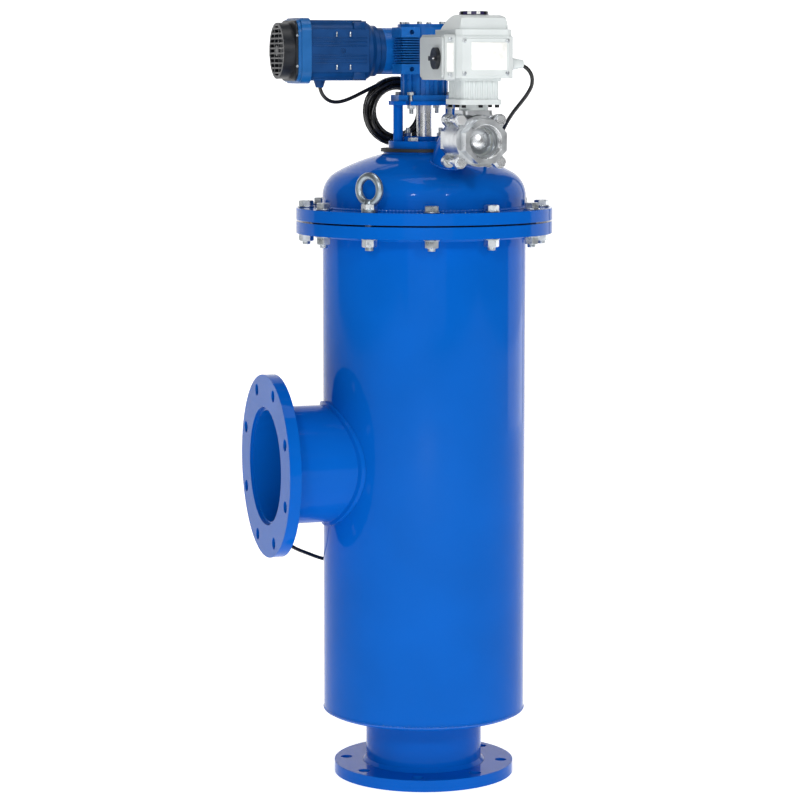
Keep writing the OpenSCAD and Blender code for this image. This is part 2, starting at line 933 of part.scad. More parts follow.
// Worm gearbox housing: wheel case, worm barrel, foot lugs and cooling fins
module gearbox_housing() {
    fin_n = floor((gear_h - 2 * lug_h) / fin_pitch);
    fin_z = gear_z + gear_h / 2 - (fin_n - 1) * fin_pitch / 2;
    lug_x = gear_w / 2 - lug_w;
    color(drive_blue)
        difference() {
            union() {
                translate([0, 0, gear_z])
                    cylinder(r = gear_front - 4, h = gear_h);
                motor_axis()
                    translate([0, 0, -gear_w / 2])
                        cylinder(r = worm_bore_r + 17, h = gear_w);
                motor_axis()
                    cylinder(r = input_r, h = adapter_at);
                for (x = [-lug_x - lug_w, lug_x], z = [gear_z, gear_top - lug_h])
                    translate([x, -gear_front, z])
                        cube([lug_w, gear_front, lug_h]);
                for (i = [0 : fin_n - 1])
                    translate([-gear_w / 2 + 3, -gear_front + 3, fin_z + i * fin_pitch - fin_t / 2])
                        cube([gear_w - 6, gear_front, fin_t]);
            }
            translate([0, 0, gear_z - 1])
                cylinder(d = shaft_d + 8, h = gear_h);
            translate([0, 0, gear_z + gear_floor])
                cylinder(d = bearing_od + 2 * slip, h = gear_h);
            translate([0, 0, gear_z + gear_floor + bearing_h])
                cylinder(r = cavity_r, h = gear_h);
            motor_axis()
                translate([0, 0, -worm_end])
                    cylinder(r = worm_bore_r, h = worm_end + adapter_at + 1);
            for (x = [-1, 1], z = [gear_z + lug_h / 2, gear_top - lug_h / 2])
                translate([x * (lug_x + lug_w / 2 - 2), -gear_front - 1, z])
                    rotate([-90, 0, 0])
                        cylinder(d = lug_hole_d, h = 16, $fn = 32);
        }
}

// Round top cover of the gearbox with the upper bearing's seat
module gearbox_cover() {
    spigot_h = 21;
    color(drive_blue)
        difference() {
            union() {
                translate([0, 0, gear_top])
                    cylinder(r = gear_cover_r, h = gear_cover_t);
                translate([0, 0, gear_top - spigot_h])
                    cylinder(r = cavity_r - clear, h = spigot_h + 1);
                polar(6, gear_cover_r - 7)
                    translate([0, 0, gear_top + gear_cover_t - 1])
                        hexagon(8, 5);
            }
            translate([0, 0, gear_top - spigot_h - 1])
                cylinder(d = bearing_od + 2 * slip, h = bearing_h + 1);
            translate([0, 0, gear_top - spigot_h])
                cylinder(d = shaft_d + 8, h = spigot_h - 2);
        }
}

module shaft_bearings() {
    color(stainless)
        for (z = [gear_z + gear_floor, gear_top - 21])
            translate([0, 0, z])
                tube(bearing_od, shaft_d + 2 * slip, bearing_h);
}

// Bearings of the worm in the gearbox and of the rotor in the motor's ends
module rotor_bearings() {
    color(stainless)
        motor_axis() {
            for (z = [-worm_end, gear_w / 2 - worm_bearing_h])
                translate([0, 0, z])
                    tube(2 * worm_bore_r - 2 * slip, 2 * worm_journal_r + 2 * slip, worm_bearing_h);
            for (z = [frame_at - motor_bearing_h, shield_at])
                translate([0, 0, z])
                    tube(2 * motor_bearing_r, motor_shaft_d + 2 * slip, motor_bearing_h);
        }
}

// Drive-end shield of the motor, growing from the gearbox's input flange to the frame
module motor_adapter() {
    rim = motor_side / 2 - 2;
    color(drive_blue)
        motor_axis()
            translate([0, 0, adapter_at])
                rotate_extrude()
                    polygon([
                        [motor_shaft_d / 2 + 2, 0], [input_r, 0], [input_r, 10], [input_r + 4, 12],
                        [input_r + 4, 20], [rim, adapter_len - 9], [rim, adapter_len],
                        [motor_bearing_r + slip, adapter_len],
                        [motor_bearing_r + slip, adapter_len - motor_bearing_h],
                        [motor_shaft_d / 2 + 2, adapter_len - motor_bearing_h]
                    ]);
}

// Outline of the motor frame: round-cornered square, ribs above, below and behind,
// and a flat panel in front
module frame_outline() {
    rib_h = 3;
    rib_w = 3;
    rib_pitch = 11;
    core = motor_side - 2 * rib_h;
    rounded(core, core, frame_round);
    for (i = [-3 : 3]) {
        translate([0, i * rib_pitch])
            square([motor_side, rib_w], center = true);
        translate([i * rib_pitch - rib_w / 2, 0])
            square([rib_w, motor_side / 2]);
    }
    translate([-0.36 * motor_side, -motor_side / 2])
        square([0.72 * motor_side, motor_side / 2]);
}

// Motor frame with its front panel's pads and centre hole, and the cable boss below
module motor_frame() {
    pad_up = 30;
    pad_along = 13;
    panel_mid = frame_at + motor_len / 2 - 6;
    color(drive_blue)
        motor_axis()
            difference() {
                union() {
                    translate([0, 0, frame_at])
                        linear_extrude(motor_len)
                            frame_outline();
                    for (x = [-1, 1], z = [-1, 1])
                        translate([x * pad_up, -motor_side / 2, panel_mid + z * pad_along])
                            rotate([90, 0, 0])
                                translate([0, 0, -1])
                                    cylinder(d = 8, h = 2.5, $fn = 24);
                    translate([-motor_side / 2, 0, motor_gland_at])
                        rotate([0, 90, 0])
                            cylinder(d = motor_gland_d + 6, h = 12, $fn = 48);
                }
                translate([0, 0, frame_at - 1])
                    cylinder(r = motor_bore_r, h = motor_len + 2);
                translate([0, -motor_side / 2 + 3, panel_mid])
                    rotate([90, 0, 0])
                        cylinder(d = 9, h = 6, $fn = 24);
            }
}

module stator_core() {
    color(core_grey)
        motor_axis()
            translate([0, 0, frame_at + core_inset])
                tube(
                    2 * (motor_bore_r - weld_gap), 2 * (rotor_r + air_gap),
                    motor_len - 2 * core_inset
                );
}

// Rear end shield with the rear bearing's seat
module motor_end_shield() {
    color(body_blue)
        motor_axis()
            translate([0, 0, shield_at])
                difference() {
                    union() {
                        linear_extrude(shield_len - 6)
                            rounded(shield_side, shield_side, shield_round);
                        linear_extrude(shield_len)
                            rounded(shield_side - 6, shield_side - 6, shield_round);
                    }
                    translate([0, 0, -1])
                        cylinder(r = motor_bearing_r + slip, h = motor_bearing_h + 1);
                    translate([0, 0, -1])
                        cylinder(d = motor_shaft_d + 4, h = shield_len + 2);
                }
}

// Slots of the fan cowl's grille
module grille_slots() {
    slot_r = cowl_d / 2 - 6;
    web = 3;
    slot_n = floor(slot_r / grille_pitch);
    difference() {
        intersection() {
            circle(slot_r);
            for (i = [-slot_n : slot_n])
                translate([i * grille_pitch, 0])
                    square([grille_slot, cowl_d], center = true);
        }
        for (y = [-1, 1])
            translate([0, y * slot_r / 3])
                square([cowl_d, web], center = true);
        circle(10);
    }
}

// Fan cowl with a square base and an open grille
module fan_cowl() {
    base = shield_side - 10;
    color(cowl_black)
        motor_axis()
            translate([0, 0, cowl_at])
                difference() {
                    union() {
                        linear_extrude(cowl_base_t)
                            rounded(base, base, shield_round);
                        cylinder(d = cowl_d, h = cowl_len);
                    }
                    translate([0, 0, -1])
                        cylinder(d = cowl_d - 2 * cowl_wall, h = cowl_len - cowl_wall + 1);
                    translate([0, 0, cowl_len - cowl_wall - 1])
                        linear_extrude(cowl_wall + 2)
                            grille_slots();
                }
}

// Fan on the motor shaft's end
module cooling_fan() {
    at = cowl_at + 4;
    color(pale_grey)
        motor_axis()
            translate([0, 0, at])
                difference() {
                    union() {
                        cylinder(r = fan_hub_r, h = fan_w);
                        cylinder(r = fan_r, h = 2);
                        intersection() {
                            cylinder(r = fan_r, h = fan_w);
                            polar(fan_blades, 0)
                                translate([0, -1.25, 0])
                                    cube([fan_r + 1, 2.5, fan_w]);
                        }
                    }
                    translate([0, 0, -1])
                        cylinder(d = motor_shaft_d + 2 * slip, h = fan_w + 2);
                }
}

// Cable gland under the motor frame
module motor_gland() {
    color(drive_blue)
        motor_axis()
            translate([-motor_side / 2, 0, motor_gland_at])
                rotate([0, -90, 0])
                    cylinder(d1 = motor_gland_d, d2 = motor_gland_d - 8, h = motor_gland_h, $fn = 48);
}

// Worm, motor shaft and rotor core on one axis
module motor_rotor() {
    journal = adapter_at - 1;
    core_a = frame_at + core_inset;
    core_b = shield_at - core_inset;
    tip = cowl_at + 4 + fan_w;
    shaft_r = motor_shaft_d / 2;
    worm_half = gear_w / 4;
    color(core_grey)
        motor_axis()
            rotate_extrude()
                polygon([
                    [0, -worm_end + 1], [worm_journal_r, -worm_end + 1],
                    [worm_journal_r, -worm_half], [worm_r, -worm_half], [worm_r, worm_half],
                    [worm_journal_r, worm_half], [worm_journal_r, journal], [shaft_r, journal],
                    [shaft_r, core_a], [rotor_r, core_a], [rotor_r, core_b], [shaft_r, core_b],
                    [shaft_r, tip], [0, tip]
                ]);
}

// Welded flush pipe: stub inside the dome, bend and straight end
module flush_elbow() {
    color(body_blue)
        difference() {
            flush_path(flush_od);
            flush_path(flush_od - 2 * flush_wall);
        }
}

// Outline of a valve end's flange: a disc with four lugs
module lug_outline() {
    diagonal = valve_bolt_pitch / sqrt(2);
    circle(valve_r);
    for (a = [45, 135])
        rotate(a) {
            square([2 * diagonal, 2 * lug_r], center = true);
            for (s = [-1, 1])
                translate([s * diagonal, 0])
                    circle(lug_r, $fn = 32);
        }
}

// Puts its children at the four body bolts of the valve
module at_valve_bolts() {
    for (x = [-1, 1], y = [-1, 1])
        translate([x * valve_bolt_pitch / 2, y * valve_bolt_pitch / 2, 0])
            children();
}

// Valve end with its lugs, octagonal threaded end and seat recess, joint face at z = 0
module valve_end() {
    end_len = valve_len / 2 - valve_half;
    difference() {
        union() {
            linear_extrude(cap_flange_t)
                lug_outline();
            rotate([0, 0, 22.5])
                cylinder(d = cap_af / cos(22.5), h = end_len, $fn = 8);
        }
        translate([0, 0, -1])
            cylinder(d = valve_bore, h = end_len + 2);
        translate([0, 0, -1])
            cylinder(r = seat_r, h = seat_depth + 1);
        translate([0, 0, end_len - socket_depth])
            cylinder(d = socket_d, h = socket_depth + 1);
        at_valve_bolts()
            translate([0, 0, -1])
                cylinder(d = valve_bolt_d + 1, h = cap_flange_t + 2, $fn = 32);
    }
}

module valve_front_cap() {
    color(stainless)
        flush_axis()
            translate([0, 0, valve_at + valve_half])
                valve_end();
}

module valve_rear_cap() {
    color(stainless)
        flush_axis()
            translate([0, 0, valve_at - valve_half])
                mirror([0, 0, 1])
                    valve_end();
}

// Middle of the valve: ball chamber, stem neck and top flange
module valve_body() {
    color(stainless)
        difference() {
            union() {
                flush_axis()
                    translate([0, 0, valve_at - valve_half])
                        cylinder(r = valve_r, h = 2 * valve_half);
                stem_axis(flush_z)
                    cylinder(r = valve_neck_r, h = valve_top_h);
                stem_axis(valve_top_z - valve_pad_t)
                    linear_extrude(valve_pad_t)
                        rounded(valve_pad_side, valve_pad_side, 8);
            }
            flush_axis()
                translate([0, 0, valve_at - valve_half - 1])
                    cylinder(r = ball_r + 2 * clear, h = 2 * valve_half + 2);
            stem_axis(flush_z)
                cylinder(d = stem_d + 2 * slip, h = valve_top_h + 1);
        }
}

// Two ring seats in the valve's ends, hollowed to the ball
module valve_seats() {
    color(seat_white)
        difference() {
            flush_axis()
                for (s = [-1, 1])
                    translate([0, 0, valve_at + s * (valve_half + seat_depth / 2) - seat_depth / 2])
                        tube(2 * (seat_r - clear), valve_bore, seat_depth);
            stem_axis(flush_z)
                sphere(ball_r + clear);
        }
}

// Long body bolts of the valve with their nuts at the back
module valve_bolts() {
    reach = valve_half + cap_flange_t;
    head_af = valve_bolt_d + 6;
    head_h = 7;
    tail = 4;
    color(stainless)
        flush_axis()
            translate([0, 0, valve_at])
                at_valve_bolts() {
                    translate([0, 0, -reach - head_h - tail])
                        cylinder(d = valve_bolt_d, h = 2 * reach + 2 * head_h + tail, $fn = 32);
                    for (z = [-reach - head_h, reach])
                        translate([0, 0, z])
                            hexagon(head_af, head_h);
                }
}

// Ball, shut at rest: its passage lies across the flush line
module valve_ball() {
    color(stainless)
        stem_axis(flush_z)
            difference() {
                sphere(ball_r);
                rotate([0, 90, 0])
                    cylinder(d = valve_bore, h = ball_d, center = true);
                translate([-ball_r, -ball_r, ball_flat])
                    cube([ball_d, ball_d, ball_r]);
            }
}

// Valve stem and actuator spindle, from the ball to the position dial
module valve_stem() {
    color(stainless) {
        stem_axis(flush_z + ball_flat)
            cylinder(d = stem_d, h = valve_top_h - ball_flat, $fn = 48);
        stem_axis(valve_top_z - 1)
            cylinder(d = spindle_d, h = act_top + clear - valve_top_z + 1, $fn = 48);
    }
}

// Actuator's mounting flange on the valve's top flange
module actuator_base() {
    color(pale_grey)
        stem_axis(valve_top_z)
            difference() {
                union() {
                    cylinder(d = valve_pad_side - 4, h = act_spigot_h + 1);
                    translate([0, 0, act_spigot_h])
                        linear_extrude(act_flange_t)
                            rounded(act_flange_w, act_flange_d, 10);
                }
                translate([0, 0, -1])
                    cylinder(d = spindle_d + 2 * clear, h = act_spigot_h + act_flange_t + 2);
            }
}

// Lower part of the actuator, fluted on all sides
module lower_outline() {
    flute_r = 2.5;
    flute_pitch = 9;
    difference() {
        rounded(act_lower_w, act_lower_d, 8);
        for (i = [-3 : 3], s = [-1, 1])
            translate([i * flute_pitch, s * act_lower_d / 2])
                circle(flute_r, $fn = 24);
        for (i = [-4 : 4], s = [-1, 1])
            translate([s * act_lower_w / 2, i * flute_pitch])
                circle(flute_r, $fn = 24);
    }
}

// Actuator casting: fluted foot, step and main body with its raised front panel
module actuator_body() {
    step_h = 5;
    panel = 2;
    color(pale_grey)
        difference() {
            union() {
                stem_axis(act_z)
                    linear_extrude(act_lower_h)
                        lower_outline();
                stem_axis(act_body_z - step_h)
                    linear_extrude(step_h)
                        rounded(act_lower_w + 8, act_lower_d + 8, 10);
                translate([(act_left + act_right) / 2, valve_y, act_body_z])
                    linear_extrude(act_body_h)
                        chamfered(act_body_w, act_body_d - 2 * panel, act_corner);
                translate([(act_left + act_right) / 2, valve_y, act_body_z + 4])
                    linear_extrude(act_body_h - 8)
                        chamfered(act_body_w - 2 * act_corner, act_body_d, panel);
            }
            stem_axis(act_z - 1)
                cylinder(d = spindle_d + 2 * clear, h = act_lower_h + act_body_h + 2);
        }
}

// A block that narrows upwards on all four sides
module tapered_block(w, d, top_w, top_d, h) {
    intersection() {
        rotate([90, 0, 0])
            linear_extrude(2 * d, center = true)
                polygon([[-w / 2, 0], [w / 2, 0], [top_w / 2, h], [-top_w / 2, h]]);
        rotate([90, 0, 90])
            linear_extrude(2 * w, center = true)
                polygon([[-d / 2, 0], [d / 2, 0], [top_d / 2, h], [-top_d / 2, h]]);
        linear_extrude(h)
            rounded(w, d, act_corner);
    }
}

// Tapered lid of the actuator on its flat band, rounded over to the back, with the dial's boss
module actuator_lid() {
    taper_h = act_lid_h - act_band_h;
    color(pale_grey)
        difference() {
            union() {
                translate([(act_left + act_right) / 2, valve_y, act_lid_z])
                    linear_extrude(act_band_h)
                        chamfered(act_body_w - 4, act_body_d - 8, act_corner);
                stem_axis(act_lid_z + act_band_h)
                    intersection() {
                        tapered_block(
                            act_lid_w + act_taper, act_lid_d + act_taper, act_lid_w, act_lid_d, taper_h
                        );
                        translate([0, -lid_crest, taper_h - lid_round])
                            rotate([0, 90, 0])
                                cylinder(r = lid_round, h = 2 * act_body_w, center = true, $fn = 180);
                    }
                stem_axis(act_lid_z + 1)
                    cylinder(d = dial_d + 6, h = act_lid_h - 1, $fn = 64);
            }
            stem_axis(act_lid_z - 1)
                cylinder(d = spindle_d + 2 * clear, h = act_lid_h + 2);
        }
}

// Side cover of the actuator's manual drive, bored for the selector's pin
module actuator_side_cover() {
    color(pale_grey)
        difference() {
            translate([act_left, valve_y + 3, act_body_z + act_body_h / 2])
                rotate([0, -90, 0]) {
                    linear_extrude(cover_depth - 4)
                        rounded(side_cover_h, side_cover_w, 7);
                    linear_extrude(cover_depth)
                        rounded(side_cover_h - 8, side_cover_w - 8, 7);
                }
            translate([act_left - cover_depth - 1, knob_y, knob_z])
                rotate([0, 90, 0])
                    cylinder(d = knob_pin_d + 2 * slip, h = knob_pin_len + 2, $fn = 48);
        }
}

// Cable gland on the actuator's right side
module actuator_gland() {
    color(pale_grey)
        translate([act_right, act_gland_y, act_gland_z])
            rotate([0, 90, 0]) {
                hexagon(26, 8);
                cylinder(d1 = 25, d2 = 14, h = act_gland_len, $fn = 48);
            }
}

// Selector knob with its pointer grip and pin
module selector_knob() {
    color(cowl_black)
        translate([act_left - cover_depth - clear, knob_y, knob_z])
            rotate([0, -90, 0]) {
                cylinder(d = knob_d, h = knob_t, $fn = 64);
                translate([-4, -knob_d / 2 + 4, 0])
                    cube([8, knob_d - 6, knob_t + 4]);
                translate([0, 0, -knob_pin_len])
                    cylinder(d = knob_pin_d, h = knob_pin_len + 1, $fn = 48);
            }
}

// Domed position indicator on the spindle
module position_dial() {
    dome_h = 5.5;
    cap_r = (pow(dial_d / 2, 2) + dome_h * dome_h) / (2 * dome_h);
    color([0.16, 0.12, 0.30])
        stem_axis(act_top + clear)
            intersection() {
                cylinder(d = dial_d, h = 2 * dome_h);
                translate([0, 0, 2 + dome_h - cap_r])
                    sphere(cap_r, $fn = 128);
            }
}

// Screen cage: a tube with rows of tall windows
module screen_cage() {
    rows = 5;
    across = 6;
    rim = 30;
    row_h = screen_h / rows;
    window_w = 46;
    color(stainless)
        difference() {
            translate([0, 0, screen_z])
                tube(cage_od, cage_od - 2 * cage_wall, screen_h);
            for (i = [0 : rows - 1], a = [0 : across - 1])
                rotate([0, 0, a * 180 / across])
                    translate([-cage_od, -window_w / 2, screen_z + i * row_h + rim / 2])
                        cube([2 * cage_od, window_w, row_h - rim]);
        }
}

module screen_mesh() {
    color(stainless)
        translate([0, 0, screen_z])
            tube(2 * mesh_r, 2 * mesh_ir, screen_h);
}

// Foot plate with six round ports, whose hub centres the scanner's lower pin
module foot_spider() {
    plate_t = 12;
    top = spider_z + spider_t - shell_z;
    color(stainless)
        translate([0, 0, shell_z])
            difference() {
                union() {
                    cylinder(r = mesh_ir - clear, h = plate_t);
                    cylinder(r = foot_pin_d / 2 + bush_wall, h = top);
                }
                translate([0, 0, -1])
                    cylinder(d = foot_pin_d + 2 * slip, h = top + 2);
                polar(6, mesh_ir * 0.61, 30)
                    translate([0, 0, -1])
                        cylinder(d = spider_port, h = plate_t + 2);
            }
}

// Partition between the screen space and the flush chamber under the cover
module chamber_plate() {
    color(stainless)
        translate([0, 0, chamber_z])
            tube(2 * (shell_ir - clear), suction_od + 2 * slip, chamber_t);
}

// Drive shaft with the hub that carries the suction pipe
module drive_shaft() {
    top = gear_top - 21 + bearing_h;
    color(stainless) {
        translate([0, 0, suction_top])
            cylinder(r = suction_r, h = shaft_hub_h);
        translate([0, 0, suction_top])
            cylinder(d = shaft_d, h = top - suction_top);
    }
}

// Worm wheel on the drive shaft, its rim hollowed to the worm
module worm_wheel() {
    color(bronze)
        translate([0, 0, worm_z - wheel_w / 2])
            rotate_extrude()
                difference() {
                    translate([shaft_d / 2 + slip, 0])
                        square([wheel_r - shaft_d / 2 - slip, wheel_w]);
                    translate([worm_offset, wheel_w / 2])
                        circle(worm_r + mesh_gap);
                }
}

// Suction pipe with its nozzles, outlet windows and foot pin
module suction_scanner() {
    inner_r = suction_r - suction_wall;
    floor_t = 8;
    reach = mesh_ir - nozzle_gap;
    mouth_h = 12;
    color(stainless)
        difference() {
            union() {
                translate([0, 0, suction_z])
                    cylinder(r = suction_r, h = suction_top - suction_z);
                translate([0, 0, spider_z])
                    cylinder(d = foot_pin_d, h = foot_pin_h + 1);
                intersection() {
                    translate([0, 0, suction_z])
                        cylinder(r = reach, h = screen_h);
                    for (i = [0 : nozzle_n - 1])
                        translate([0, 0, nozzle_z + i * nozzle_step])
                            rotate([0, 90, i * 144]) {
                                cylinder(d = nozzle_od, h = reach);
                                translate([0, 0, reach - mouth_h])
                                    cylinder(d = nozzle_mouth_d, h = 2 * mouth_h);
                            }
                }
            }
            translate([0, 0, suction_z + floor_t])
                cylinder(r = inner_r, h = suction_top - suction_z);
            for (i = [0 : nozzle_n - 1])
                translate([0, 0, nozzle_z + i * nozzle_step])
                    rotate([0, 90, i * 144])
                        cylinder(d = nozzle_od - 8, h = 2 * reach);
            for (a = [0, 90])
                rotate([0, 0, a])
                    translate([-suction_od, -suction_r / 2, chamber_z + chamber_t + 8])
                        cube([2 * suction_od, suction_r, window_h]);
        }
}

function unit(v) = v / norm(v);

// Point at t from 0 to 1 on the smooth curve between b and c, with neighbours a and d
function between(a, b, c, d, t) =
    0.5 * (2 * b + (c - a) * t + (2 * a - 5 * b + 4 * c - d) * t * t + (3 * b - a - 3 * c + d) * t * t * t);

// A route with k points to each of its steps
function smooth(p, k) = [
    for (i = [0 : len(p) - 2], j = [0 : k - 1])
        between(p[max(i - 1, 0)], p[i], p[i + 1], p[min(i + 2, len(p) - 1)], j / k),
    p[len(p) - 1]
];

function directions(p) = [
    for (i = [0 : len(p) - 1])
        unit(p[min(i + 1, len(p) - 1)] - p[max(i - 1, 0)])
];

// Side directions carried along a route without twist, from n at its step i
function carried(t, n, i = 0) =
    i == len(t) ? [] : let (m = unit(n - (n * t[i]) * t[i])) concat([m], carried(t, m, i + 1));

// A round cord of diameter d along the points p
module cord(p, d, start_side) {
    sides = 8;
    t = directions(p);
    u = carried(t, start_side);
    rings = [
        for (i = [0 : len(p) - 1], k = [0 : sides - 1])
            let (a = k * 360 / sides)
                p[i] + d / 2 * (cos(a) * u[i] + sin(a) * cross(t[i], u[i]))
    ];
    walls = [
        for (i = [0 : len(p) - 2], k = [0 : sides - 1])
            let (a = i * sides + k, b = i * sides + (k + 1) % sides)
                each [[a, a + sides, b], [b, a + sides, b + sides]]
    ];
    last = (len(p) - 1) * sides;
    ends = [[for (k = [0 : sides - 1]) k], [for (k = [sides - 1 : -1 : 0]) last + k]];
    polyhedron(rings, concat(walls, ends));
}

module motor_cable() {
    color(rubber_black)
        cord(concat(motor_bend, motor_rise), cable_d, [1, 0, 0]);
}

module cable_coil() {
    color(rubber_black)
        translate([coil_x, coil_y, coil_z])
            rotate([90, 0, 0])
                rotate_extrude()
                    translate([coil_r, 0])
                        circle(coil_section, $fn = 48);
}

module actuator_cable() {
    color(rubber_black)
        cord(concat(actuator_bend, smooth(actuator_fall, 2)), cable_d, [0, 0, 1]);
}

inlet_flange();
inlet_neck();
bottom_plate();
shell();
outlet_nozzle();
outlet_flange();
body_flange();
main_gasket();
cover_flange();
cover_dome();
cover_pad();
cover_bolts();
cover_nuts();
eye_bolts();
rubber_disc();
stand_base();
stand_yoke();
stand_bolts();
packing_rings();
packing_gland();
gland_studs();
gearbox_flange();
flange_bolts();
gearbox_housing();
gearbox_cover();
shaft_bearings();
motor_adapter();
motor_frame();
stator_core();
motor_end_shield();
rotor_bearings();
fan_cowl();
motor_gland();
flush_elbow();
valve_rear_cap();
valve_body();
valve_front_cap();
valve_seats();
valve_bolts();
actuator_base();
actuator_body();
actuator_lid();
actuator_side_cover();
actuator_gland();
screen_cage();
screen_mesh();
foot_spider();
chamber_plate();
drive_shaft();
worm_wheel();
suction_scanner();
motor_rotor();
cooling_fan();
valve_ball();
valve_stem();
position_dial();
selector_knob();
motor_cable();
cable_coil();
actuator_cable();
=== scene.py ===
"""Dresses the self cleaning filter: finishes, cables, fasteners, welds and the studio it is shown in."""
import json
import math

import bpy
from bpy.props import FloatProperty, FloatVectorProperty, IntProperty, PointerProperty
from bpy.types import Operator, Panel, PropertyGroup
from mathutils import Matrix, Vector


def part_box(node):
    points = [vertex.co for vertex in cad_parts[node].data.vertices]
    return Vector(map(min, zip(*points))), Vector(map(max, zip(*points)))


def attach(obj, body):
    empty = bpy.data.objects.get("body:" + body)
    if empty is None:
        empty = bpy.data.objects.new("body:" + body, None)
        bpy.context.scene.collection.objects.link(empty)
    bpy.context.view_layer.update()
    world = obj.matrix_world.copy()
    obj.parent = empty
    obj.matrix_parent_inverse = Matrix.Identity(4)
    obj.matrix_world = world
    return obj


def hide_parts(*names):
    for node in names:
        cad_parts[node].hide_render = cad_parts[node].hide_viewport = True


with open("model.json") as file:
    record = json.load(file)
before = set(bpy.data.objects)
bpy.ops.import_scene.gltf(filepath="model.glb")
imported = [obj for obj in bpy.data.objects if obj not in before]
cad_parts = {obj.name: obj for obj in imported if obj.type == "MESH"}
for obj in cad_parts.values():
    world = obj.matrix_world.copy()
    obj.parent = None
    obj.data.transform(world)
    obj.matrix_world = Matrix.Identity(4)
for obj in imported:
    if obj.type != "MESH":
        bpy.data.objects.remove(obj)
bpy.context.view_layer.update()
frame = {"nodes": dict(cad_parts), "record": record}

bl_info = {
    "name": "Self Cleaning Filter",
    "version": (1, 0, 0),
    "blender": (4, 5, 0),
    "location": "3D View > Sidebar > Filter",
    "description": "Dresses a self cleaning water filter and sets up its studio",
    "category": "Object",
}

MM = 0.001
AHEAD, BEHIND, LEFT, UP, DOWN = (0, -1, 0), (0, 1, 0), (-1, 0, 0), (0, 0, 1), (0, 0, -1)


def linear(hex_code):
    """Linear RGB of an sRGB hex colour."""
    channels = [int(hex_code[i:i + 2], 16) / 255 for i in (0, 2, 4)]
    return tuple(c / 12.92 if c <= 0.04045 else ((c + 0.055) / 1.055) ** 2.4 for c in channels)


def corners(node):
    """The low and the high corner of a CAD node's box."""
    low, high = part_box(node)
    return Vector(low), Vector(high)


def middle(node):
    """Centre of a CAD node's box."""
    low, high = corners(node)
    return (low + high) / 2


def both(size):
    """A size to either side of a middle."""
    return -size, size


# Levels and axes that the pieces are placed by, read from the solids
FLANGE_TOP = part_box("cover_flange")[1][2]
FLANGE_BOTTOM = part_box("body_flange")[0][2]
SHELL_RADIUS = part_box("bottom_plate")[1][0]
MOTOR_AXIS = middle("motor_adapter")
OUTLET_AXIS = middle("outlet_flange")
STEM_AXIS = middle("valve_stem")
FLUSH_AXIS = middle("valve_front_cap")


class FilterColours(PropertyGroup):
    """Colours of the filter's finishes."""

    enamel: FloatVectorProperty(
        name="Body enamel", description="Gloss blue of the pressure body", subtype="COLOR",
        default=linear("045ab8"), min=0, max=1)
    drive: FloatVectorProperty(
        name="Drive paint", description="Darker blue of the gearbox and motor", subtype="COLOR",
        default=linear("0d3f76"), min=0, max=1)
    actuator: FloatVectorProperty(
        name="Actuator coat", description="Pale grey powder coat of the actuator", subtype="COLOR",
        default=linear("d0d6d6"), min=0, max=1)
    dial: FloatVectorProperty(
        name="Position dial", description="Dark tint of the position dial", subtype="COLOR",
        default=linear("2a2350"), min=0, max=1)


class FilterSizes(PropertyGroup):
    """Sizes of the pieces that are added to the solids."""

    cable: FloatProperty(
        name="Cable diameter", description="Diameter of both cables", unit="LENGTH", default=7 * MM)
    bead: FloatProperty(
        name="Weld bead", description="Half width of a weld bead", unit="LENGTH", default=3.2 * MM)
    edge: FloatProperty(
        name="Edge radius", description="Rounding of painted and machined edges", unit="LENGTH",
        default=1.2 * MM)
    bolt: FloatProperty(
        name="Cover bolt", description="Thread diameter of the cover bolts", unit="LENGTH",
        default=16 * MM)
    coil_turns: IntProperty(
        name="Coil turns", description="Turns in the motor cable's coil", default=8, min=4, max=12)


def settings():
    """The scene's filter settings."""
    scene = bpy.context.scene
    return scene.filter_colours, scene.filter_sizes


def add_node(tree, kind, inputs=None, **options):
    """Adds a shader node with its options, and sets or links its inputs."""
    node = tree.nodes.new(kind)
    for name, value in options.items():
        setattr(node, name, value)
    for name, value in (inputs or {}).items():
        if isinstance(value, bpy.types.NodeSocket):
            tree.links.new(value, node.inputs[name])
        else:
            node.inputs[name].default_value = value
    return node


def banded(pitch, axis="Z"):
    """Wave settings for bands of a given pitch along an axis. At scale 1 the wave turns through twenty
    radians in a metre."""
    scale = math.tau / 20 / pitch
    return "ShaderNodeTexWave", {"Scale": scale}, {"wave_type": "BANDS", "bands_direction": axis}


def grained(size, detail=2.0, distortion=0.0):
    """Noise settings for grains of a given size."""
    inputs = {"Scale": 1 / size, "Detail": detail, "Roughness": 0.5, "Distortion": distortion}
    return "ShaderNodeTexNoise", inputs, {}


# Noise values at which a finish reaches its first and its second end
DRIFT = (0.3, 0.7)


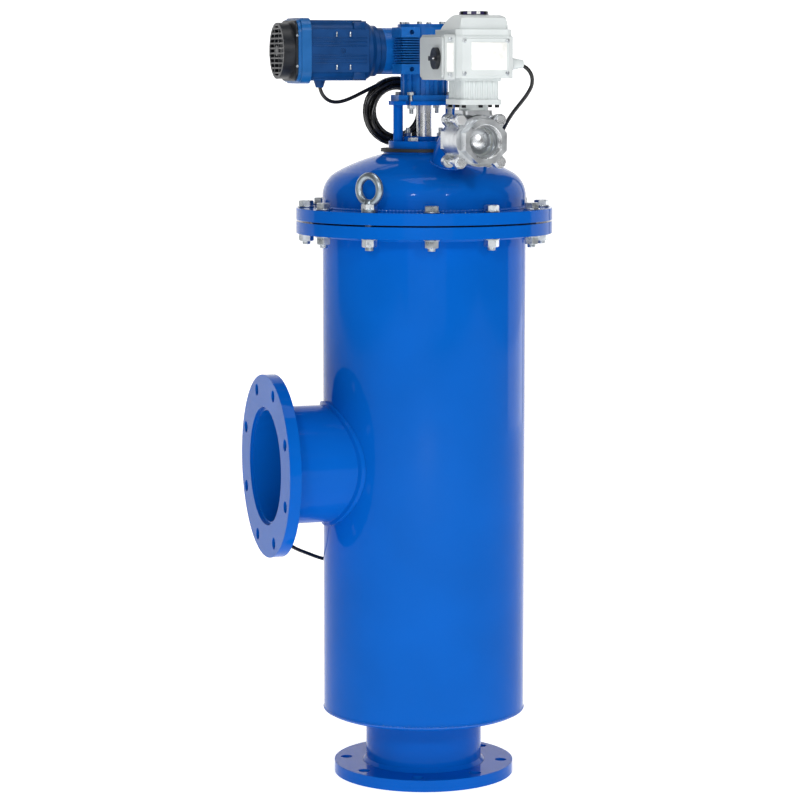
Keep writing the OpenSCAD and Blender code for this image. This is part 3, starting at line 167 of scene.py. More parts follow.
def finish(name, colours, roughness, patch, grain, depth, metallic=0.0, **sockets):
    """A finish whose colour and gloss drift between two ends over patches of a given size, or with its
    grain where there is none. The grain stands depth metres high, and edges are slightly rounded."""
    _, sizes = settings()
    material = bpy.data.materials.new(name)
    material.use_nodes = True
    tree = material.node_tree
    shader = tree.nodes["Principled BSDF"]
    shader.inputs["Metallic"].default_value = metallic
    for socket, value in sockets.items():
        shader.inputs[socket.replace("_", " ")].default_value = value
    place = add_node(tree, "ShaderNodeTexCoord").outputs["Object"]
    kind, inputs, options = grain
    fine = add_node(tree, kind, {"Vector": place, **inputs}, **options).outputs["Fac"]
    slow = fine if patch is None else add_node(tree, "ShaderNodeTexNoise", {
        "Vector": place, "Scale": 1 / patch, "Detail": 3.0}).outputs["Fac"]
    ramp = add_node(tree, "ShaderNodeValToRGB", {"Fac": slow})
    for end in (0, 1):
        ramp.color_ramp.elements[end].position = DRIFT[end]
        ramp.color_ramp.elements[end].color = (*colours[end], 1)
    tree.links.new(ramp.outputs["Color"], shader.inputs["Base Color"])
    gloss = add_node(tree, "ShaderNodeMapRange", {
        "Value": slow, "From Min": DRIFT[0], "From Max": DRIFT[1],
        "To Min": roughness[0], "To Max": roughness[1]})
    tree.links.new(gloss.outputs["Result"], shader.inputs["Roughness"])
    edge = add_node(tree, "ShaderNodeBevel", {"Radius": sizes.edge}, samples=4)
    bump = add_node(tree, "ShaderNodeBump", {
        "Height": fine, "Strength": 1.0, "Distance": depth, "Normal": edge.outputs["Normal"]})
    tree.links.new(bump.outputs["Normal"], shader.inputs["Normal"])
    return material


def shades(colour, darker, lighter):
    """A colour's darker and lighter shades."""
    return tuple(c * darker for c in colour), tuple(min(1, c * lighter) for c in colour)


FINISHES = {}


def make_finishes():
    """Makes all finishes by name."""
    colours, _ = settings()
    enamel, drive = tuple(colours.enamel), tuple(colours.drive)
    coat, dial = tuple(colours.actuator), tuple(colours.dial)
    FINISHES.update({
        # Sprayed gloss enamel on steel: a wet shine that turns white at grazing edges, with soft
        # orange peel
        "enamel": finish(
            "gloss_blue_enamel", shades(enamel, 0.94, 1.05), (0.04, 0.09), 160 * MM,
            grained(9 * MM), 0.03 * MM, IOR=1.38, Specular_IOR_Level=0.1),
        # The same enamel where it pooled on the weld beads: thicker and wetter, with small lights on
        # every ripple
        "pooled": finish(
            "pooled_blue_enamel", shades(enamel, 0.94, 1.05), (0.05, 0.12), 20 * MM,
            grained(3 * MM), 0.1 * MM, IOR=1.5),
        # Paint on a die casting: a duller, darker blue, with the casting's grain under it
        "drive": finish(
            "blue_paint_on_casting", shades(drive, 0.85, 1.12), (0.3, 0.42), 30 * MM,
            grained(2 * MM, 4), 0.1 * MM, IOR=1.33, Specular_IOR_Level=0.3),
        # A brighter and glossier blue paint, on the gearbox's casting
        "gear": finish(
            "glossier_blue_paint_on_casting", shades(linear("0c60b0"), 0.88, 1.12), (0.2, 0.3), 30 * MM,
            grained(2 * MM, 4), 0.08 * MM, IOR=1.36),
        # A lighter batch of the paint, on the motor's rear shield
        "shield": finish(
            "lighter_blue_paint_on_casting", shades(linear("145c9c"), 0.9, 1.1), (0.26, 0.36), 30 * MM,
            grained(2 * MM, 4), 0.08 * MM, IOR=1.36),
        # Bright zinc plate: cool silver with faint clouds of passivation, satin rather than mirror
        "zinc": finish(
            "bright_zinc_plate", (linear("aab2b9"), linear("dde1e3")), (0.22, 0.38), 14 * MM,
            grained(1.5 * MM), 0.02 * MM, metallic=1.0),
        # Drop-forged steel, zinc plated: the plate lies dull over the forging's skin
        "forged": finish(
            "zinc_plated_forging", (linear("8795a0"), linear("b4bec4")), (0.3, 0.44), 18 * MM,
            grained(2 * MM, 3), 0.05 * MM, metallic=1.0),
        # Investment-cast stainless steel: a grey satin skin with the mould's fine pebble
        "cast": finish(
            "cast_stainless_steel", (linear("b0b4b8"), linear("d6d9db")), (0.26, 0.36), 25 * MM,
            grained(1.6 * MM, 3), 0.03 * MM, metallic=1.0),
        # Turned stainless steel: near mirror with tool rings, drawn 1 mm apart so that they show
        "turned": finish(
            "turned_stainless_steel", (linear("dee1e4"), linear("f4f5f6")), (0.22, 0.32), 40 * MM,
            banded(1 * MM), 0.01 * MM, metallic=1.0),
        # Wedge-wire screen: bright rings of wire 3 mm apart, with painted shade for the open slots between
        # them
        "wire": finish(
            "wedge_wire_screen", (linear("26282b"), linear("c6c9cb")), (0.55, 0.25), None,
            banded(3 * MM), 0.4 * MM, metallic=1.0),
        # Black oxide on steel screws: near black with a faint sheen
        "blackened": finish(
            "black_oxide_steel", (linear("1a1a1c"), linear("303134")), (0.35, 0.5), 6 * MM,
            grained(1 * MM), 0.02 * MM, metallic=1.0),
        # Vulcanised rubber: dull black with a bloom of grey
        "rubber": finish(
            "black_rubber_sheet", (linear("101012"), linear("1e1f21")), (0.5, 0.65), 20 * MM,
            grained(1.2 * MM), 0.05 * MM, IOR=1.52),
        # Moulded nylon: black with the fine spark texture of its mould and a soft sheen
        "cowl": finish(
            "black_moulded_nylon", (linear("14161a"), linear("24282e")), (0.32, 0.46), 20 * MM,
            grained(1.2 * MM), 0.04 * MM, IOR=1.36),
        # Moulded polypropylene fan: plain grey
        "fan": finish(
            "grey_moulded_polypropylene", (linear("50555b"), linear("646970")), (0.42, 0.55), 20 * MM,
            grained(1.2 * MM), 0.04 * MM, IOR=1.49),
        # Extruded cable sheath: smooth black vinyl with duller scuffs
        "sheath": finish(
            "black_vinyl_sheath", (linear("0b0b0d"), linear("161618")), (0.16, 0.3), 12 * MM,
            grained(1 * MM), 0.03 * MM, IOR=1.53),
        # Powder coat on a die casting: pale grey, even, with a fine stipple
        "coat": finish(
            "pale_grey_powder_coat", shades(coat, 0.97, 1.02), (0.34, 0.44), 40 * MM,
            grained(1.5 * MM, 3), 0.05 * MM, IOR=1.5),
        # The actuator's side cover: the same coat with painted shade, darker for its side that faces away
        # from the lights
        "cover": finish(
            "painted_shade_grey_powder_coat", shades(coat, 0.8, 0.86), (0.38, 0.48), 40 * MM,
            grained(1.5 * MM, 3), 0.05 * MM, IOR=1.5),
        # Tinted acrylic dial: deep violet and glossy
        "dial": finish(
            "tinted_acrylic_dial", shades(dial, 0.9, 1.1), (0.06, 0.12), 40 * MM,
            grained(8 * MM), 0.01 * MM, IOR=1.49, Coat_Weight=0.5, Coat_Roughness=0.03),
        # Moulded marks and bare plates: clean white with a soft sheen
        "mark": finish(
            "white_moulded_mark", (linear("e6e6e2"), linear("f6f6f4")), (0.3, 0.4), 10 * MM,
            grained(1 * MM), 0.02 * MM, IOR=1.49),
        # Cast bronze: warm, slightly tarnished in patches
        "bronze": finish(
            "cast_bronze", (linear("8a6230"), linear("c29350")), (0.25, 0.42), 12 * MM,
            grained(1.5 * MM), 0.05 * MM, metallic=1.0),
        # Stacked core laminations: dark steel sheets, drawn 1.5 mm thick so that they show
        "core": finish(
            "stacked_core_steel", (linear("4d5054"), linear("74777b")), (0.35, 0.5), 20 * MM,
            banded(1.5 * MM, "X"), 0.1 * MM, metallic=1.0),
        # Seat polymer: waxy white
        "seat": finish(
            "white_seat_polymer", (linear("e2e2da"), linear("f1f1ec")), (0.25, 0.35), 20 * MM,
            grained(1 * MM), 0.02 * MM, IOR=1.38, Subsurface_Weight=0.1),
        # Braided packing: pale strands 3 mm wide with painted shade, darker for the creases
        "packing": finish(
            "braided_packing_yarn", (linear("ded9c8"), linear("9c9684")), (0.75, 0.9), None,
            grained(3 * MM, distortion=2.0), 0.3 * MM),
    })


FINISH_OF_SLOT = {
    "body_paint": "enamel", "drive_paint": "drive", "shield_paint": "shield", "zinc": "zinc",
    "stainless": "cast", "core_steel": "core", "bronze": "bronze", "gasket_rubber": "rubber",
    "packing": "packing", "seat": "seat", "cowl": "cowl", "fan": "fan", "actuator_paint": "coat",
    "dial": "dial", "cable": "sheath",
}
# Solids whose finish differs from that of their slot
FINISH_OF_NODE = {
    "drive_shaft": "turned", "valve_ball": "turned", "valve_stem": "turned", "valve_bolts": "turned",
    "shaft_bearings": "turned", "rotor_bearings": "turned", "screen_mesh": "wire",
    "actuator_side_cover": "cover", "gearbox_flange": "gear", "gearbox_housing": "gear",
    "gearbox_cover": "gear", "eye_bolts": "forged",
}


class FILTER_OT_finishes(Operator):
    """Gives every solid of the filter its finish"""

    bl_idname = "filter.finishes"
    bl_label = "Finish Solids"

    def execute(self, context):
        make_finishes()
        for part in frame["record"]["subparts"]:
            solid = frame["nodes"][part["node"]]
            name = FINISH_OF_NODE.get(part["node"], FINISH_OF_SLOT[part["material_slot"]])
            solid.data.materials.clear()
            solid.data.materials.append(FINISHES[name])
        return {"FINISHED"}


def deselect():
    """Leaves object mode with nothing selected."""
    if bpy.context.object and bpy.context.object.mode != "OBJECT":
        bpy.ops.object.mode_set(mode="OBJECT")
    bpy.ops.object.select_all(action="DESELECT")


def keep(piece, name, look, body="housing", replaced=()):
    """Bakes a finished piece's place into its mesh, names and paints it, and lets it ride on its body."""
    deselect()
    piece.name = piece.data.name = name
    bpy.context.view_layer.objects.active = piece
    piece.select_set(True)
    bpy.ops.object.transform_apply(location=True, rotation=True, scale=True)
    piece.data.materials.clear()
    piece.data.materials.append(FINISHES[look])
    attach(piece, body)
    if replaced:
        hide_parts(*replaced)
    deselect()


# The cables' routes in millimetres. Each leaves its gland along chords of one length, which turn a little
# at a time by angles in degrees, and goes on through points.
CHORD = 9.6
MOTOR_EXIT = (-188, 50, 1308)
MOTOR_HEADING = 12.5
MOTOR_TURNS = (4, 16, 32, 49, 66, 82, 94, 102, 107, 110.5, 112.5)
MOTOR_RISE = ((-82, 72.8, 1294.6), (-64, 76, 1302.2))
ACTUATOR_EXIT = (69, -285, 1340)
# The actuator cable's angles, each with the share by which it turns back
ACTUATOR_TURNS = (
    (4, 0), (15, 0), (30, 0.04), (46, 0.12), (62, 0.24), (77, 0.4), (91, 0.56), (103, 0.72), (109, 0.82),
    (111, 0.9))
# From that bend round the dome and down behind the body to the outlet
ACTUATOR_FALL = (
    (98, -243, 1268), (92, -228, 1254), (88, -211, 1239), (86, -193, 1223), (84, -172, 1204),
    (87, -138, 1184), (92, -100, 1168), (98, -50, 1171), (98, 0, 1175), (91, 48, 1174), (72, 92, 1169),
    (52, 132, 1158), (36, 168, 1144), (28, 192, 1119), (24, 214, 1093), (22, 236, 1083), (20, 252, 1064),
    (8, 250, 1010), (-4, 230, 930), (-12, 208, 800), (-15, 203, 640), (-20, 203, 480), (-36, 201, 418),
    (-66, 193, 389), (-108, 173, 382), (-150, 154, 390), (-186, 148, 404), (-220, 146, 421),
    (-246, 142, 448), (-260, 136, 482), (-268, 126, 530), (-270, 114, 600))
# Steps of the smooth curve to each stretch of a route
CURVE_STEPS = 6


def along(start, steps):
    """Points from a start along chords in the given directions."""
    points = [Vector(start)]
    for step in steps:
        points.append(points[-1] + Vector(step).normalized() * CHORD)
    return points


def motor_route():
    """The motor cable's route: it drops out of its gland, turns evenly and rises to the coil."""
    heading = math.radians(MOTOR_HEADING)
    turns = [math.radians(a) for a in MOTOR_TURNS]
    steps = [(math.sin(a) * math.cos(heading), math.sin(a) * math.sin(heading), -math.cos(a)) for a in turns]
    return along(MOTOR_EXIT, steps) + [Vector(p) for p in MOTOR_RISE]


def actuator_route():
    """The actuator cable's route: it leaves its gland sideways, turns down and back, and falls."""
    turns = [(math.radians(a), back) for a, back in ACTUATOR_TURNS]
    steps = [(math.cos(a), back, -math.sin(a)) for a, back in turns]
    return along(ACTUATOR_EXIT, steps) + [Vector(p) for p in ACTUATOR_FALL]


def eased(points):
    """Points on a smooth curve through a route."""
    ends = [points[0] * 2 - points[1], *points, points[-1] * 2 - points[-2]]
    curve = []
    for a, b, c, d in zip(ends, ends[1:], ends[2:], ends[3:]):
        for i in range(CURVE_STEPS):
            t = i / CURVE_STEPS
            curve.append(0.5 * (2 * b + (c - a) * t + (2 * a - 5 * b + 4 * c - d) * t ** 2
                                + (3 * b - a - 3 * c + d) * t ** 3))
    return curve + [points[-1]]


# The coil behind the stand: points to a turn, and the spacing of its turns in cable diameters
COIL_POINTS = 30
COIL_SPACING = 1.37
# In degrees: where the first turn lies in the bundle, and where on the circle the winding starts
COIL_FIRST, COIL_START = -30, -20
# In degrees: where the first turn climbs, how much sooner each later one does, and how long a climb takes
CLIMB_AT, CLIMB_SOONER, CLIMB_LENGTH = 300, 42, 50


def coil_points(turns, diameter):
    """Points of the coil: its turns lie in a loose round bundle with the last turn in the middle, and each
    turn climbs to the next place in its own part of the circle. The last turn stops just short."""
    low, high = corners("cable_coil")
    centre = (low + high) / 2
    radius = (high.x - low.x) / 2 - (high.y - low.y) / 2
    spread = COIL_SPACING * diameter
    around = [math.radians(COIL_FIRST - 360 / (turns - 1) * i) for i in range(turns - 1)]
    places = [(spread * math.cos(a), spread * math.sin(a)) for a in around] + [(0, 0)]
    points = []
    for step in range(turns * COIL_POINTS - 2):
        wound = step * 360 // COIL_POINTS
        turn, angle = divmod(wound, 360)
        here, after = places[turn], places[min(turn + 1, turns - 1)]
        climb = min(1, max(0, (angle - CLIMB_AT + CLIMB_SOONER * turn) / CLIMB_LENGTH))
        climb = (1 - math.cos(math.pi * climb)) / 2
        out = radius + here[0] + (after[0] - here[0]) * climb
        across = here[1] + (after[1] - here[1]) * climb
        swing = math.radians(wound + COIL_START)
        points.append(centre + Vector((out * math.sin(swing), across, out * math.cos(swing))))
    return points


def lay_cable(name, points, diameter, replaced):
    """Lays a cable along points as one round open curve."""
    deselect()
    curve = bpy.data.curves.new(name, "CURVE")
    curve.dimensions = "3D"
    curve.bevel_depth = diameter / 2
    curve.bevel_resolution = 3
    curve.use_fill_caps = True
    spline = curve.splines.new("POLY")
    spline.points.add(len(points) - 1)
    spline.points.foreach_set("co", [x for p in points for x in (*p, 1)])
    spline.use_smooth = True
    cable = bpy.data.objects.new(name, curve)
    bpy.context.collection.objects.link(cable)
    cable.data.materials.append(FINISHES["sheath"])
    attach(cable, "housing")
    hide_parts(*replaced)


class FILTER_OT_cables(Operator):
    """Lays the motor's cable with its coil, and the actuator's cable"""

    bl_idname = "filter.cables"
    bl_label = "Lay Cables"

    def execute(self, context):
        _, sizes = settings()
        coil = coil_points(sizes.coil_turns, sizes.cable)
        # The lead is eased into the coil's first stretch, which is then left to the coil itself
        lead = eased([*(p * MM for p in motor_route()), coil[0], coil[3]])[:-CURVE_STEPS]
        lay_cable("coiled_motor_cable", lead + coil[1:], sizes.cable,
                  ("motor_cable", "cable_coil"))
        fall = eased([p * MM for p in actuator_route()])
        lay_cable("hanging_actuator_cable", fall, sizes.cable, ("actuator_cable",))
        return {"FINISHED"}


def turned(rings, sides=32):
    """A turned body round Z: a disc at the first ring, drawn up and sized ring by ring. A ring is its
    radius and its height."""
    deselect()
    radius, height = rings[0]
    bpy.ops.mesh.primitive_circle_add(
        vertices=sides, radius=radius, fill_type="NGON", location=(0, 0, height))
    body = bpy.context.object
    bpy.ops.object.transform_apply(location=True)
    bpy.ops.object.mode_set(mode="EDIT")
    bpy.ops.mesh.select_all(action="SELECT")
    for wider, higher in rings[1:]:
        bpy.ops.mesh.extrude_region_move(TRANSFORM_OT_translate={"value": (0, 0, higher - height)})
        bpy.ops.transform.resize(value=(wider / radius, wider / radius, 1), center_override=(0, 0, higher))
        radius, height = wider, higher
    bpy.ops.mesh.select_all(action="SELECT")
    bpy.ops.mesh.normals_make_consistent(inside=False)
    bpy.ops.object.mode_set(mode="OBJECT")
    bpy.ops.object.shade_smooth_by_angle(angle=math.radians(35))
    return body


def cut_by(body, tool, operation="DIFFERENCE"):
    """A body cut by a tool, which is used up."""
    cut = body.modifiers.new("cut", "BOOLEAN")
    cut.operation = operation
    cut.object = tool
    deselect()
    bpy.context.view_layer.objects.active = body
    body.select_set(True)
    bpy.ops.object.modifier_apply(modifier=cut.name)
    bpy.ops.object.transform_apply(location=True, rotation=True)
    bpy.ops.object.shade_smooth_by_angle(angle=math.radians(25))
    bpy.data.objects.remove(tool)
    return body


def hexagon(across, height):
    """A hexagon head on z = 0 with its corners turned off at 30 degrees, points along X."""
    deselect()
    bpy.ops.mesh.primitive_cylinder_add(
        vertices=6, radius=across / math.sqrt(3), depth=height, location=(0, 0, height / 2),
        rotation=(0, 0, math.radians(30)))
    head = bpy.context.object
    top = across / 2 * 0.95
    bpy.ops.mesh.primitive_cone_add(
        vertices=48, radius1=top + height * math.sqrt(3), radius2=top, depth=height,
        location=(0, 0, height / 2))
    return cut_by(head, bpy.context.object, "INTERSECT")


def block(width, depth, height, edge):
    """A block on z = 0 with its edges rounded."""
    deselect()
    bpy.ops.mesh.primitive_cube_add(size=1, scale=(width, depth, height), location=(0, 0, height / 2))
    body = bpy.context.object
    bpy.ops.object.transform_apply(location=True, rotation=True, scale=True)
    bpy.ops.object.mode_set(mode="EDIT")
    bpy.ops.mesh.select_all(action="SELECT")
    bpy.ops.mesh.bevel(offset=edge, segments=2, affect="EDGES")
    bpy.ops.object.mode_set(mode="OBJECT")
    bpy.ops.object.shade_smooth_by_angle(angle=math.radians(40))
    return body


def pan_head(radius):
    """A pan head screw on z = 0 with a cross recess."""
    head = turned([(radius * 0.97, 0), (radius, radius * 0.12), (radius * 0.96, radius * 0.42),
                   (radius * 0.78, radius * 0.62), (radius * 0.4, radius * 0.72)], 24)
    for spin in (0, math.pi / 2):
        bar = block(radius * 1.2, radius * 0.26, radius, radius * 0.05)
        bar.location.z = radius * 0.4
        bar.rotation_euler.z = spin
        head = cut_by(head, bar)
    return head


def socket_head(radius, height):
    """A cylinder head screw on z = 0 with a hexagon socket."""
    head = turned([(radius * 0.96, 0), (radius, radius * 0.08), (radius, height * 0.86),
                   (radius * 0.88, height)], 24)
    deselect()
    bpy.ops.mesh.primitive_cylinder_add(
        vertices=6, radius=radius * 0.58, depth=height, location=(0, 0, height))
    return cut_by(head, bpy.context.object)


def spun(profile):
    """A ring round Z from a closed profile of radius and height."""
    deselect()
    mesh = bpy.data.meshes.new("ring")
    count = len(profile)
    mesh.from_pydata([(r, 0, z) for r, z in profile], [(i, (i + 1) % count) for i in range(count)], [])
    ring = bpy.data.objects.new("ring", mesh)
    bpy.context.collection.objects.link(ring)
    bpy.context.view_layer.objects.active = ring
    ring.select_set(True)
    bpy.ops.object.mode_set(mode="EDIT")
    bpy.ops.mesh.select_all(action="SELECT")
    bpy.ops.mesh.spin(steps=64, angle=math.tau, center=(0, 0, 0), axis=(0, 0, 1))
    bpy.ops.mesh.select_all(action="SELECT")
    bpy.ops.mesh.remove_doubles(threshold=0.01 * MM)
    bpy.ops.mesh.normals_make_consistent(inside=False)
    bpy.ops.object.mode_set(mode="OBJECT")
    bpy.ops.object.shade_smooth_by_angle(angle=math.radians(35))
    return ring


def joined(pieces):
    """Several objects as one."""
    deselect()
    for piece in pieces:
        piece.select_set(True)
    bpy.context.view_layer.objects.active = pieces[0]
    bpy.ops.object.join()
    bpy.ops.object.transform_apply(location=True, rotation=True, scale=True)
    deselect()
    return pieces[0]


def repeated(model, places):
    """Copies of a model at the given places, each with its own mesh, as one object."""
    copies = []
    for place in places:
        copy = model.copy()
        copy.data = model.data.copy()
        copy.matrix_world = place
        bpy.context.collection.objects.link(copy)
        copies.append(copy)
    bpy.data.objects.remove(model)
    return joined(copies)


def moved(x, y, z):
    """A place at a point."""
    return Matrix.Translation((x, y, z))


def facing(point, direction, spin=0.0):
    """A place at a point with Z along a direction, spun about it."""
    turn = Vector(direction).to_track_quat("Z", "Y").to_matrix().to_4x4()
    return Matrix.Translation(point) @ turn @ Matrix.Rotation(spin, 4, "Z")


def ring_of(count, radius, height, start=0.0):
    """Places on a circle round the body's axis, X outwards."""
    turns = [start + i * math.tau / count for i in range(count)]
    return [Matrix.Rotation(turn, 4, "Z") @ moved(radius, 0, height) for turn in turns]


def screw_tail(radius, low, high, pitch=2 * MM):
    """A threaded tail from low up to high, its end chamfered and its ridges drawn as rings."""
    rings = [(radius * 0.8, low), (radius * 0.96, low + pitch / 2)]
    height = low + pitch / 2
    while height + pitch < high:
        rings += [(radius * 0.86, height + pitch / 2), (radius, height + pitch)]
        height += pitch
    return turned([*rings, (radius * 0.9, high)], 24)


# The cover's bolts: how many, where the first one is, how far they stand out from the shell, and the two
# that carry lifting eyes
COVER_BOLTS = 12
FIRST_BOLT = math.radians(15)
BOLT_OFFSET = 30 * MM
EYE_PLACES = (1, 7)
WASHER = 3 * MM


class FILTER_OT_cover_fasteners(Operator):
    """Makes the cover's hexagon bolts, nuts, washers and screw tails, and the collars of its eye bolts"""

    bl_idname = "filter.cover_fasteners"
    bl_label = "Fit Cover Fasteners"

    def execute(self, context):
        _, sizes = settings()
        bolt = sizes.bolt
        across, head_height, nut_height = 1.5 * bolt, 0.625 * bolt, 0.8 * bolt
        circle = SHELL_RADIUS + BOLT_OFFSET
        rim, bevel = bolt / 2 + 7 * MM, 0.6 * MM
        washer = [(bolt / 2, 0), (rim - 1 * MM, 0), (rim, bevel), (rim, WASHER - bevel),
                  (rim - 1 * MM, WASHER), (bolt * 0.4, WASHER)]
        head = hexagon(across, head_height)
        head.location.z = WASHER
        places = ring_of(COVER_BOLTS, circle, FLANGE_TOP, FIRST_BOLT)
        heads = repeated(joined([head, turned(washer)]),
                         [p for i, p in enumerate(places) if i not in EYE_PLACES])
        keep(heads, "cover_bolt_heads", "zinc", replaced=("cover_bolts",))
        collar_across, collar_height, collar_lift = 26 * MM, 12 * MM, 3.5 * MM
        collars = repeated(hexagon(collar_across, collar_height),
                           [places[i] @ moved(0, 0, collar_lift) for i in EYE_PLACES])
        keep(collars, "eye_bolt_collars", "zinc")
        nut = hexagon(across, nut_height)
        nut.rotation_euler.x = math.pi
        nut.location.z = -WASHER
        under = turned(washer)
        under.location.z = -WASHER
        tail_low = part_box("cover_bolts")[0][2] - FLANGE_BOTTOM
        inside_nut = 1 * MM
        tail = screw_tail(bolt / 2, tail_low, -WASHER - nut_height + inside_nut)
        nuts = repeated(joined([nut, under, tail]),
                        ring_of(COVER_BOLTS, circle, FLANGE_BOTTOM, FIRST_BOLT))
        keep(nuts, "cover_nuts_and_tails", "zinc", replaced=("cover_nuts",))
        return {"FINISHED"}


# A weld bead's pools of metal: the length of one, and its swell from end to end
POOL_LENGTH = 7 * MM
POOL_SWELL = (0.72, 1.0, 1.08, 0.9)
# Leg of the solids' fillet welds
WELD_LEG = 7 * MM
# The flush elbow where it leaves the dome: radius of its weld, its bend, and how far forward that ends
ELBOW_WELD = 31 * MM
ELBOW_BEND = 76 * MM
ELBOW_END = -188 * MM
# The sphere of the dome's crown: height of its centre, and a radius just outside its skin
CROWN_HEIGHT = 843.2 * MM
CROWN_RADIUS = 341 * MM


def bead(place, length, size):
    """A closed weld bead along a path given by angle, rippled where each pool of metal set on the last."""
    count = len(POOL_SWELL) * round(length / POOL_LENGTH)
    deselect()
    curve = bpy.data.curves.new("bead", "CURVE")
    curve.dimensions = "3D"
    curve.bevel_depth = size
    curve.bevel_resolution = 1
    spline = curve.splines.new("POLY")
    spline.points.add(count - 1)
    for i, spot in enumerate(spline.points):
        spot.co = (*place(i * math.tau / count), 1)
        spot.radius = POOL_SWELL[i % len(POOL_SWELL)]
    spline.use_cyclic_u = True
    weld = bpy.data.objects.new("bead", curve)
    bpy.context.collection.objects.link(weld)
    bpy.context.view_layer.objects.active = weld
    weld.select_set(True)
    bpy.ops.object.convert(target="MESH")
    bpy.ops.object.shade_smooth()
    return bpy.context.object


def level_ring(radius, height):
    """A level circle round the body's axis, by angle."""
    return lambda a: Vector((radius * math.cos(a), radius * math.sin(a), height))


def on_dome(angle):
    """The point where a side of the flush elbow's bend, by angle round the pipe, comes out of the dome. It
    is found by halving the part of the bend in which it lies."""
    heart = Vector((FLUSH_AXIS.x, ELBOW_END, FLUSH_AXIS.z - ELBOW_BEND))
    crown = Vector((0, 0, CROWN_HEIGHT))
    aside = ELBOW_WELD * math.cos(angle)
    reach = ELBOW_BEND + ELBOW_WELD * math.sin(angle)
    lower, upper = 0.0, 1.0
    for _ in range(30):
        lift = (lower + upper) / 2
        spot = heart + Vector((aside, reach * math.cos(lift), reach * math.sin(lift)))
        if (spot - crown).length < CROWN_RADIUS:
            lower = lift
        else:
            upper = lift
    return spot


class FILTER_OT_welds(Operator):
    """Lays the rippled weld beads of the pressure body and the cover"""

    bl_idname = "filter.welds"
    bl_label = "Lay Welds"

    def execute(self, context):
        _, sizes = settings()
        size = sizes.bead
        small, inset = size * 0.8, size * 0.4
        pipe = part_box("outlet_nozzle")[1][1] - WELD_LEG + inset
        shell = SHELL_RADIUS + inset
        pipe_round, shell_round = math.tau * pipe, math.tau * SHELL_RADIUS
        flange_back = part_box("outlet_flange")[1][0] + inset
        low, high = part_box("inlet_flange")[1][2] + inset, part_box("bottom_plate")[0][2] - inset

        def on_shell(a):
            across = pipe * math.cos(a)
            out = math.sqrt(shell ** 2 - across ** 2)
            return Vector((-out, across, OUTLET_AXIS.z + pipe * math.sin(a)))

        def on_flange(a):
            return Vector((flange_back, pipe * math.cos(a), OUTLET_AXIS.z + pipe * math.sin(a)))

        body = [
            bead(on_shell, pipe_round, size),
            bead(on_flange, pipe_round, size),
            bead(level_ring(pipe, low), pipe_round, size),
            bead(level_ring(pipe, high), pipe_round, size),
            bead(level_ring(shell, FLANGE_BOTTOM - inset), shell_round, size),
            bead(level_ring(SHELL_RADIUS - inset, high + WELD_LEG), shell_round, small)]
        keep(joined(body), "body_weld_beads", "pooled")
        cover = [
            bead(level_ring(shell, FLANGE_TOP + inset), shell_round, size),
            bead(on_dome, math.tau * ELBOW_WELD, small)]
        keep(joined(cover), "cover_weld_beads", "pooled")
        return {"FINISHED"}


# Small blocks of the drive and the actuator: width, depth, height and edge
LUG_BLOCK = (22 * MM, 15 * MM, 15 * MM, 2 * MM)
# The motor's bright pads are partly machined pads, partly a painted highlight on the ribs' ends
PAD_BLOCK = (2.6 * MM, 9 * MM, 2.2 * MM, 0.6 * MM)
PLATE_BLOCK = (66 * MM, 48 * MM, 1.4 * MM, 0.5 * MM)
STRIP_BLOCK = (13 * MM, 50 * MM, 1.6 * MM, 0.6 * MM)
KNOB_MARK_BLOCK = (2.2 * MM, 9 * MM, 0.9 * MM, 0.3 * MM)
# The cooling ribs' depth, height and edge, and their steps in millimetres from the middle of each face
RIB_SECTION = (2.4 * MM, 2.8 * MM, 0.7 * MM)
RIB_STEPS = (-23, -16, -9, 9, 16, 23)


class FILTER_OT_motor_frame(Operator):
    """Adds the motor frame's cooling ribs and corner lugs, and bright pads that are partly a painted
    highlight
    """

    bl_idname = "filter.motor_frame"
    bl_label = "Add Motor Ribs"

    def execute(self, context):
        low, high = corners("motor_frame")
        half = high.z - MOTOR_AXIS.z
        centre = Vector(((low.x + high.x) / 2, MOTOR_AXIS.y, MOTOR_AXIS.z))
        sunk, shorter = 1 * MM, 10 * MM
        places = []
        for outward, across in ((AHEAD, UP), (BEHIND, UP), (UP, BEHIND)):
            for step in RIB_STEPS:
                point = centre + Vector(outward) * (half - sunk) + Vector(across) * step * MM
                places.append(facing(point, outward))
        ribs = repeated(block(high.x - low.x - shorter, *RIB_SECTION), places)
        keep(ribs, "motor_ribs", "drive")
        lug_back, lug_out = 18 * MM, 45 * MM
        lugs = [moved(high.x - lug_back, centre.y + y, centre.z + z - LUG_BLOCK[2] / 2)
                for y in both(lug_out) for z in both(lug_out)]
        keep(repeated(block(*LUG_BLOCK), lugs), "motor_corner_lugs", "drive")
        # Bright zinc pads on the front face: partly machined pads, partly a painted highlight for the light
        # on the ribs' ends
        panel, pad_sunk, pad_along, pad_up = centre.x + 6 * MM, 0.6 * MM, 13 * MM, 30 * MM
        pads = [facing((panel + x, low.y + pad_sunk, centre.z + z), AHEAD)
                for x in both(pad_along) for z in both(pad_up)]
        keep(repeated(block(*PAD_BLOCK), pads), "motor_pads_and_painted_highlights", "zinc")
        return {"FINISHED"}


class FILTER_OT_drive_screws(Operator):
    """Adds the screws of the fan cowl and of the gearbox's cover"""

    bl_idname = "filter.drive_screws"
    bl_label = "Add Drive Screws"

    def execute(self, context):
        low, high = corners("fan_cowl")
        cowl_screw, from_edge, from_axis = 2.6 * MM, 2 * MM, 28 * MM
        screws = [facing((high.x - from_edge, y, MOTOR_AXIS.z + z), outward)
                  for y, outward in ((low.y, AHEAD), (high.y, BEHIND)) for z in both(from_axis)]
        keep(repeated(pan_head(cowl_screw), screws), "cowl_screws", "zinc")
        _, top = corners("gearbox_cover")
        across, height, from_rim, drop = 9 * MM, 5.4 * MM, 7 * MM, 5 * MM
        heads = repeated(hexagon(across, height), ring_of(6, top.x - from_rim, top.z - drop))
        keep(heads, "gearbox_cover_screws", "zinc")
        return {"FINISHED"}


